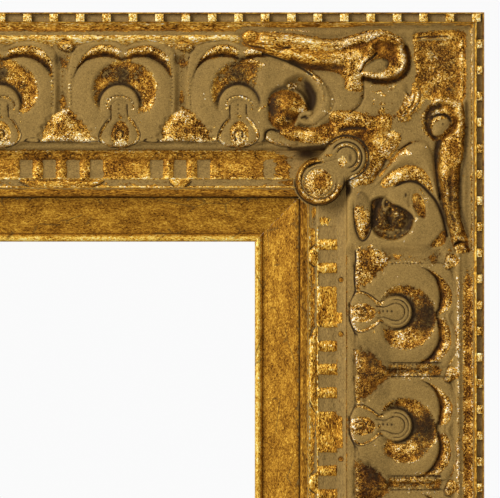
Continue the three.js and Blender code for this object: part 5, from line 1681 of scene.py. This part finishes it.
def frieze_group(r, count, at=0.0, few=False):
    x, y = r.x, r.y
    rows = window(y, 158.8, 160.6, 177.8, 179.4)
    for i in range(count):
        middle = at + (i - (count - 1) / 2) * FLUTE_PITCH
        flute = smoothstep(FLUTE_HALF + 0.9, FLUTE_HALF - 0.9, np.abs(x - middle)) * rows
        r.cut(flute, 0.8, gold=0.06, dark=0.0)
        edge = soft(np.abs(x - middle) - FLUTE_HALF - 1.2, 0.8) * rows
        r.paint(edge * 0.6, dark=0.55)
        if not few or i == 0:
            r.dome(middle, 155.6, 1.9, 1.9, 34.6, 0.5, edge=1.0, **LEAF)
            r.paint(soft(np.hypot(x - middle, y - 155.6) - 2.6, 0.8), dark=0.75)
        if i:
            bar = middle - FLUTE_PITCH / 2
            r.h += 0.5 * soft(x - bar, 3.2) * rows
            r.paint(soft(x - bar, 4.0) * rows, **LEAF)
    if count > 3:
        tongue = [
            (-42, 180.2), (-34, 185.4), (-24, 187.2), (24, 187.2), (34, 185.4), (42, 180.2), (24, 180.0),
            (-24, 180.0),
        ]
    else:
        tongue = [
            (-10, 179.6), (-8.5, 184), (-4, 187.6), (0, 188.2), (4, 187.6), (8.5, 184), (10, 179.6), (0, 179.4),
        ]
    tongue = [(at + px, py) for px, py in tongue]
    d = r.lobe(tongue, 33.9, edge=1.6, crown=0.8, reach=3, gold=0.85, dark=0.22)
    r.cut(soft(d + 0.7, 0.8) * smoothstep(180, 182, y), 0.4, dark=0.85, gold=0.3)


def frieze_tile(pitch, count, upright):
    rng = np.random.default_rng(FRIEZE_SEED + count)
    x, y = np.meshgrid(np.linspace(-pitch / 2, pitch / 2, TILE_COLUMNS), FRIEZE_GRID)
    r = frieze_ground(x, y, upright)
    frieze_group(r, count, few=upright)
    if upright:
        block = smoothstep(0, 3, np.abs(x) - FLUTE_PITCH * (count - 1) / 2 - FLUTE_HALF - 3)
        r.paint(block * smoothstep(153, 155, y) * smoothstep(181, 179, y), gold=0.95, dark=0.06, shine=0.05)
    seam = smoothstep(0, 4, pitch / 2 - np.abs(x))
    r.h += seam * (0.05 + 0.2 * r.gold) * roughness_field(x.shape, 1.6, rng)
    return r


def frieze_end(start, half, upright):
    """End piece from the last tile to the mitre."""
    share, y = np.meshgrid(np.linspace(0, 1, END_COLUMNS[upright]), FRIEZE_GRID)
    mitre = half - (y - EDGE_ROW) - CASTING_GAP
    x = start + (mitre - start) * share
    r = frieze_ground(x, y, upright)
    gone = x - start
    middle = window(y, 158, 160, 178, 180)
    if upright:
        group = start + UPRIGHT_PITCH / 2
        r.paint(smoothstep(26, 32, x - group), gold=0.08, dark=0.0)
        r.spot(group + 36, 172, 5.5, 6, 1.0, gold=0.95, dark=0.0, shine=0.1)
        r.spot(group + 44, 182.5, 14, 2.6, 0.8, gold=0.9, dark=0.0)
        frieze_group(r, 3, group, few=True)
    else:
        r.paint(smoothstep(14, 60, gone) * smoothstep(161, 152, y), gold=0.15)
        left = np.interp(gone, [20, 26, 32, 35, 40, 47, 52, 60], [1.0, 0.3, 0.08, 0.5, 0.95, 0.85, 0.3, 0.06])
        r.paint(middle, gold=left)
        r.spot(start + 50, 183, 9, 3, 0.9, gold=0.9, dark=0.2)
    # Painted shade towards the mitre, under the corner ornament
    r.paint(smoothstep(200, 172, half - x) * 0.8, dark=0.38)
    # Painted shadow left of the pendant
    if not upright:
        r.spot(start + 67, 153, 15, 7.5, 1.0, gold=0.1, dark=0.85)
    return r


print("frieze drawn from row", FRIEZE_START, "to", FRIEZE_END)

# %% [markdown]
# ## Frieze runs
#
# Groups of three and four flutes are laid along each rail by the row tree, and mitred end pieces close
# the run. The order of the groups is counted off the photograph on the level rail and on the upright.

# %% Frieze runs
frieze_row = row_tree("Frieze run", ["Threes", "Fours", "Inner groups", "First end", "Last end"])


def frieze_meshes(pitch, half, last, upright):
    sheets = {
        "Threes": frieze_tile(pitch, 3, upright),
        "Fours": frieze_tile(pitch, 4, upright),
        "First end": turned_about(frieze_end(last, half, upright)),
        "Last end": frieze_end(last, half, upright),
    }
    return {
        name: closed_strip(name, sheet, FRIEZE_FLOOR, name == "First end", name == "Last end")
        for name, sheet in sheets.items()
    }


frieze_sets = {
    LEVEL: (frieze_meshes(ACROSS_PITCH, HALF["top"], ACROSS_REACH, False), ACROSS_PITCH),
    UPRIGHT: (frieze_meshes(UPRIGHT_PITCH, HALF["right"], UPRIGHT_REACH, True), UPRIGHT_PITCH),
}
for side, matrix in SIDES.items():
    upright = side in UPRIGHTS
    meshes, p = frieze_sets[upright]
    threes, fours = meshes["Threes"], meshes["Fours"]
    if upright:
        rows = {
            "Threes": (threes, 3, -2 * p, 2 * p), "Fours": (fours, 4, -3 * p, 2 * p),
            "Inner_groups": (fours, 0, 0, 0),
        }
    else:
        rows = {
            "Threes": (threes, 2, -2.5 * p, 5 * p), "Fours": (fours, 2, -1.5 * p, 3 * p),
            "Inner_groups": (threes, 2, -0.5 * p, p),
        }
    run = lay_row(
        "frieze " + side, frieze_row, matrix, frieze_gold[upright], **rows,
        First_end=(meshes["First end"], 1, 0, 0), Last_end=(meshes["Last end"], 1, 0, 0),
    )
    place_piece("frieze " + side, run, "flute_run_" + side)
    print("frieze", side, len(run.polygons), "faces")

# %% [markdown]
# ## Beads
#
# Small square beads stand in the channel of the lip, about 14 mm apart. Each is a soft block of a few
# dozen faces, because it is repeated some two hundred times; the strip they stand on is mitred.

# %% Bead runs
BEAD_FOOT, BEAD_RIM, BEAD_FACE, BEAD_CROWN, BEAD_PITCH, BEAD_HALF = 44.4, 45.4, 47.7, 0.5, 26.2, 4.9
STRIP_FLOOR, STRIP_FACE, STRIP_OUTER, STRIP_COLUMNS, STRIP_ROWS = 44.9, 45.1, 14.6, 120, 5
BEAD_INSET = {LEVEL: 8.0, UPRIGHT: 31.7}
STRIP_INNER = {LEVEL: 21.8, UPRIGHT: 19.6}
BEAD_GRID = np.array([-1, -0.84, -0.45, 0, 0.45, 0.84, 1])


def bead_mesh(half_width, row):
    x, y = np.meshgrid(BEAD_GRID * BEAD_HALF, row + BEAD_GRID * half_width)
    r = Relief(x, y, np.full(x.shape, BEAD_RIM))
    q = np.maximum(np.abs(x) / BEAD_HALF, np.abs(y - row) / half_width)
    mask = smoothstep(1.0, 0.84, q)
    r.raise_to(BEAD_FACE + BEAD_CROWN * (1 - q * q), mask)
    r.paint(mask, gold=1.0, shine=0.2)
    r.paint(1 - mask, gold=0.3, dark=0.6)
    return closed_strip("bead", r, BEAD_FOOT)


def channel_strip(half, inner):
    share, y = np.meshgrid(np.linspace(-1, 1, STRIP_COLUMNS), np.linspace(STRIP_OUTER, inner, STRIP_ROWS))
    r = Relief(share * (half - (y - EDGE_ROW) - CASTING_GAP), y, np.full(y.shape, STRIP_FACE))
    r.paint(np.ones(y.shape), gold=0.2, dark=0.02)
    return closed_strip("bead strip", r, STRIP_FLOOR)


bead_row = row_tree("Bead run", ["Beads", "Strip"])
beads = {LEVEL: bead_mesh(4.5, 18.0), UPRIGHT: bead_mesh(2.9, 17.0)}
for side, matrix in SIDES.items():
    upright = side in UPRIGHTS
    span = 2 * (HALF[side] - BEAD_INSET[upright])
    count = round(span / BEAD_PITCH)
    run = lay_row(
        "beads " + side, bead_row, matrix, bead_gold[upright],
        Beads=(beads[upright], count + 1, -span / 2, span / count),
        Strip=(channel_strip(HALF[side], STRIP_INNER[upright]), 1, 0, 0),
    )
    place_piece("beads " + side, run, "bead_run_" + side)
    print("beads", side, count + 1)

# %% [markdown]
# ## Rails and liner
#
# Both are plain mouldings: one cross-section pushed along the rail and cut at 45 degrees. A Curve
# with a bevel object would give the section but not clean mitres, so the section's points are laid
# out in rows and each row ends on the mitre. The wood behind is bare.

# %% Mouldings
BAR_COLUMNS, MITRE_GAP = 160, 0.02


def moulding(name, section, half):
    """Closed mitred bar; the section lists row, height, gold, dark (glaze and painted shade) and rub
    (wear and painted highlight), counter-clockwise from outside.
    """
    points = np.array(section, float)
    columns = BAR_COLUMNS
    x = np.linspace(-1, 1, columns)[None, :] * (half - (points[:, 0] - EDGE_ROW) - MITRE_GAP)[:, None]
    y = np.repeat(points[:, :1], columns, 1)
    h = np.repeat(points[:, 1:2], columns, 1)
    n = len(points)
    ids = np.arange(n * columns).reshape(n, columns)
    after = np.roll(ids, -1, 0)
    quads = np.stack([after[:, :-1], after[:, 1:], ids[:, 1:], ids[:, :-1]], -1).reshape(-1, 4)
    rings = [ids[::-1, 0], ids[:, -1]]
    maps = {key: np.repeat(points[:, k], columns) for k, key in ((2, "gold"), (3, "dark"), (4, "rub"))}
    maps["wood"] = np.repeat((points[:, 2] == 0) * 1.0, columns)
    mesh = make_mesh(name, lay(x, y, h).reshape(-1, 3), quads, rings, **maps)
    steps = np.hypot(np.diff(points[:, 0]) * UNIT, np.diff(points[:, 1]) * MM)
    girth = np.concatenate([[0], np.cumsum(steps)])
    corners = np.empty(len(mesh.loops), np.int32)
    mesh.loops.foreach_get("vertex_index", corners)
    spread_out = np.stack([(x * UNIT).ravel()[corners], np.repeat(girth, columns)[corners]], -1)
    mesh.uv_layers.new(name="along").data.foreach_set("uv", spread_out.astype(np.float32).ravel())
    return mesh


# The rub column puts painted highlights on the arrises; the dark column puts painted shade on the inner wall
# that steps down to the liner
RAIL_SECTION = [
    (12.5, 14.0, 0.3, 0.1, 0.4), (12.5, 40.0, 0.5, 0.1, 0.4), (12.5, 46.6, 0.7, 0.1, 0.5),
    (12.8, 47.6, 0.9, 0.0, 0.6), (13.5, 48.0, 1.0, 0.0, 0.7), (14.1, 47.8, 0.8, 0.0, 0.5),
    (14.4, 47.0, 0.3, 0.4, 0.3), (14.5, 44.6, 0.2, 0.5, 0.3), (21.8, 44.6, 0.2, 0.5, 0.3),
    (21.9, 47.0, 0.3, 0.4, 0.4), (22.2, 48.0, 0.9, 0.0, 0.7), (22.8, 48.3, 1.0, 0.0, 0.8),
    (23.3, 48.1, 1.0, 0.0, 0.7), (23.6, 47.4, 0.9, 0.0, 0.5), (23.7, 36.0, 0.2, 0.5, 0.4),
    (150.4, 36.0, 0.2, 0.5, 0.4), (150.4, 29.0, 0.2, 0.5, 0.4), (186.8, 29.0, 0.2, 0.5, 0.4),
    (186.9, 33.4, 0.8, 0.0, 0.9), (187.5, 34.1, 1.0, 0.0, 1.0), (188.4, 33.6, 0.25, 0.0, 0.6),
    (189.6, 33.3, 0.7, 0.1, 0.5), (191.5, 33.6, 0.95, 0.1, 0.5), (194.0, 33.7, 0.95, 0.1, 0.5),
    (195.6, 33.4, 0.95, 0.1, 0.5), (196.5, 32.6, 0.7, 0.3, 0.4), (196.5, 25.2, 0.3, 0.8, 0.3),
    (181.2, 25.2, 0.0, 0.5, 0.3), (181.2, 0.0, 0.0, 0.5, 0.3), (18.0, 0.0, 0.0, 0.0, 0.5),
]
# The liner has painted shade along its edge by the rail and in the hollow before the lip, and painted
# highlights on the lip
LINER_SECTION = [
    (181.8, 25.0, 0.5, 0.3, 0.4), (197.2, 27.6, 0.5, 0.7, 0.35), (198.4, 27.7, 0.6, 0.2, 0.5),
    (201.0, 27.5, 0.85, 0.05, 0.5), (206.0, 26.8, 1.0, 0.0, 0.5), (214.0, 25.8, 1.0, 0.0, 0.52),
    (224.0, 24.6, 1.0, 0.0, 0.53), (231.0, 23.8, 1.0, 0.0, 0.5), (233.0, 23.6, 0.9, 0.15, 0.45),
    (233.6, 23.6, 0.7, 0.65, 0.35), (234.2, 24.3, 1.0, 0.0, 0.62), (235.2, 25.4, 1.0, 0.0, 0.8),
    (236.6, 26.2, 1.0, 0.0, 0.92), (238.4, 26.5, 1.0, 0.0, 0.98), (240.2, 26.2, 1.0, 0.0, 1.0),
    (241.3, 25.2, 1.0, 0.0, 1.0), (241.7, 23.4, 0.9, 0.1, 0.7), (241.7, 15.0, 0.8, 0.2, 0.4),
    (230.6, 15.0, 0.0, 0.3, 0.4), (230.6, 0.0, 0.0, 0.0, 0.4), (197.0, 0.0, 0.0, 0.0, 0.4),
    (197.0, 11.0, 0.0, 0.2, 0.4), (181.8, 11.0, 0.0, 0.2, 0.4),
]
# The upright's lip, with a painted highlight on its arris
NARROW_LIP = [
    (19.6, 44.6, 0.2, 0.5, 0.3), (19.7, 47.0, 0.3, 0.4, 0.4), (20.0, 48.0, 0.95, 0.0, 0.95),
    (20.5, 48.3, 1.0, 0.0, 1.15), (21.0, 48.0, 1.0, 0.0, 0.95), (22.4, 47.6, 0.5, 0.1, 0.45),
    (23.6, 47.4, 0.3, 0.1, 0.45),
]
UPRIGHT_SECTION = RAIL_SECTION[:8] + NARROW_LIP + RAIL_SECTION[14:]
for side, matrix in SIDES.items():
    rail_section = UPRIGHT_SECTION if side in UPRIGHTS else RAIL_SECTION
    for label, section, finish in (("rail", rail_section, rail_gold), ("liner", LINER_SECTION, liner_gold)):
        mesh = moulding(label + " " + side, section, HALF[side])
        dress(mesh, finish)
        mesh.transform(matrix)
        place_piece(label + " bar " + side, mesh, label + "_" + side)
print("rails and liners:", 2 * len(SIDES))

# %% [markdown]
# ## Metal on the back
#
# The hangers, turn buttons, screws, nails and brads keep their solids. Zinc and brass plating are
# metals with a little uneven gloss.

# %% Hardware finishes


def plating(name, low, high, rough, metallic=1.0):
    made = bpy.data.materials.new(name)
    made.use_nodes = True
    tree = made.node_tree
    shader = tree.nodes["Principled BSDF"]
    place = add_node(tree, "ShaderNodeTexCoord").outputs["Object"]
    tree.links.new(blend(tree, grain(tree, place, 420.0, 3.0), low, high), shader.inputs["Base Color"])
    uneven = total(tree, times(tree, grain(tree, place, 900.0), 0.25), rough)
    tree.links.new(uneven, shader.inputs["Roughness"])
    shader.inputs["Metallic"].default_value = metallic
    return made


zinc = plating("zinc plate", (0.45, 0.45, 0.43), (0.62, 0.62, 0.60), 0.22)
brass = plating("brass plate", (0.50, 0.33, 0.12), (0.68, 0.48, 0.20), 0.2)
felt = plating("bumper felt", (0.05, 0.045, 0.04), (0.10, 0.09, 0.08), 0.7, metallic=0.0)
HARDWARE = {"hanger": brass, "turn": zinc, "corner_nail": zinc, "brad": zinc, "wall_bumper": felt}
for name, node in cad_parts.items():
    for beginning, finish in HARDWARE.items():
        if name.startswith(beginning):
            dress(node.data, finish)
print("hardware dressed")

# %% [markdown]
# ## Camera
#
# The photograph looks straight at the upper right corner, so a long lens stands far off, square to
# the frame. A short lens would show the sides of the mouldings, which the photograph doesn't.

# %% Camera
IMAGE_WIDTH, IMAGE_HEIGHT, STAND_OFF, FACE_DEPTH, SENSOR = 500, 498, 6.0, -0.045, 36
lens = bpy.data.cameras.new("view")
camera = bpy.data.objects.new("view", lens)
bpy.context.collection.objects.link(camera)
camera.location = (
    FRAME_WIDTH / 2 - (EDGE_COLUMN - IMAGE_WIDTH / 2) * UNIT,
    FACE_DEPTH - STAND_OFF,
    FRAME_HEIGHT / 2 - (IMAGE_HEIGHT / 2 - EDGE_ROW) * UNIT,
)
camera.rotation_euler = (math.pi / 2, 0, 0)
lens.sensor_width = SENSOR
lens.lens = SENSOR * STAND_OFF / (IMAGE_WIDTH * UNIT)
lens.clip_end = 200
bpy.context.scene.camera = camera
bpy.context.scene.view_settings.view_transform = "Standard"
print("camera at", tuple(round(v, 3) for v in camera.location))

# %% [markdown]
# ## Light and floor
#
# One large soft lamp at the upper left stands in for a photographer's window light. Light Path gives
# a white background to the camera and to reflections, while the light that falls on the frame stays at
# a plain level. The floor is only a stage for other views; it is kept out of the part.

# %% Light and floor
SKY_LEVEL, SKY_SEEN, KEY_SIZE, KEY_POWER = 0.32, 0.64, 1.5, 67
KEY_PLACE, KEY_AIM = Vector((-1.75, -2.1, 1.45)), Vector((0.1, -0.05, 0.1))
world = bpy.data.worlds.new("studio")
bpy.context.scene.world = world
world.use_nodes = True
sky = world.node_tree
rays = add_node(sky, "ShaderNodeLightPath").outputs
seen = calc(sky, "MAXIMUM", rays["Is Glossy Ray"], rays["Is Transmission Ray"])
seen = calc(sky, "MAXIMUM", rays["Is Camera Ray"], seen)
sky.links.new(total(sky, times(sky, seen, SKY_SEEN), SKY_LEVEL), sky.nodes["Background"].inputs["Strength"])
sky.nodes["Background"].inputs["Color"].default_value = (1, 1, 1, 1)

key_light = bpy.data.lights.new("key", "AREA")
key_light.size, key_light.energy = KEY_SIZE, KEY_POWER
key = bpy.data.objects.new("key", key_light)
bpy.context.collection.objects.link(key)
key.location = KEY_PLACE
key.rotation_euler = (KEY_AIM - KEY_PLACE).to_track_quat("-Z", "Y").to_euler()

FLOOR_HALF, FLOOR_LEVEL = 12, -0.372
floor_mesh = bpy.data.meshes.new("floor")
floor_corners = [(a * FLOOR_HALF, b * FLOOR_HALF, FLOOR_LEVEL) for a, b in ((-1, -1), (1, -1), (1, 1), (-1, 1))]
floor_mesh.from_pydata(floor_corners, [], [(0, 1, 2, 3)])
floor = bpy.data.objects.new("floor", floor_mesh)
bpy.context.collection.objects.link(floor)
floor_paint = bpy.data.materials.new("pale floor")
floor_paint.use_nodes = True
paint_tree = floor_paint.node_tree
floor_place = add_node(paint_tree, "ShaderNodeTexCoord").outputs["Object"]
floor_tint = blend(paint_tree, grain(paint_tree, floor_place, 2.0, 3.0), (0.83, 0.83, 0.82), (0.87, 0.87, 0.86))
paint_tree.links.new(floor_tint, paint_tree.nodes["Principled BSDF"].inputs["Base Color"])
paint_tree.nodes["Principled BSDF"].inputs["Roughness"].default_value = 0.8
floor_mesh.materials.append(floor_paint)
print("lamp and floor set")
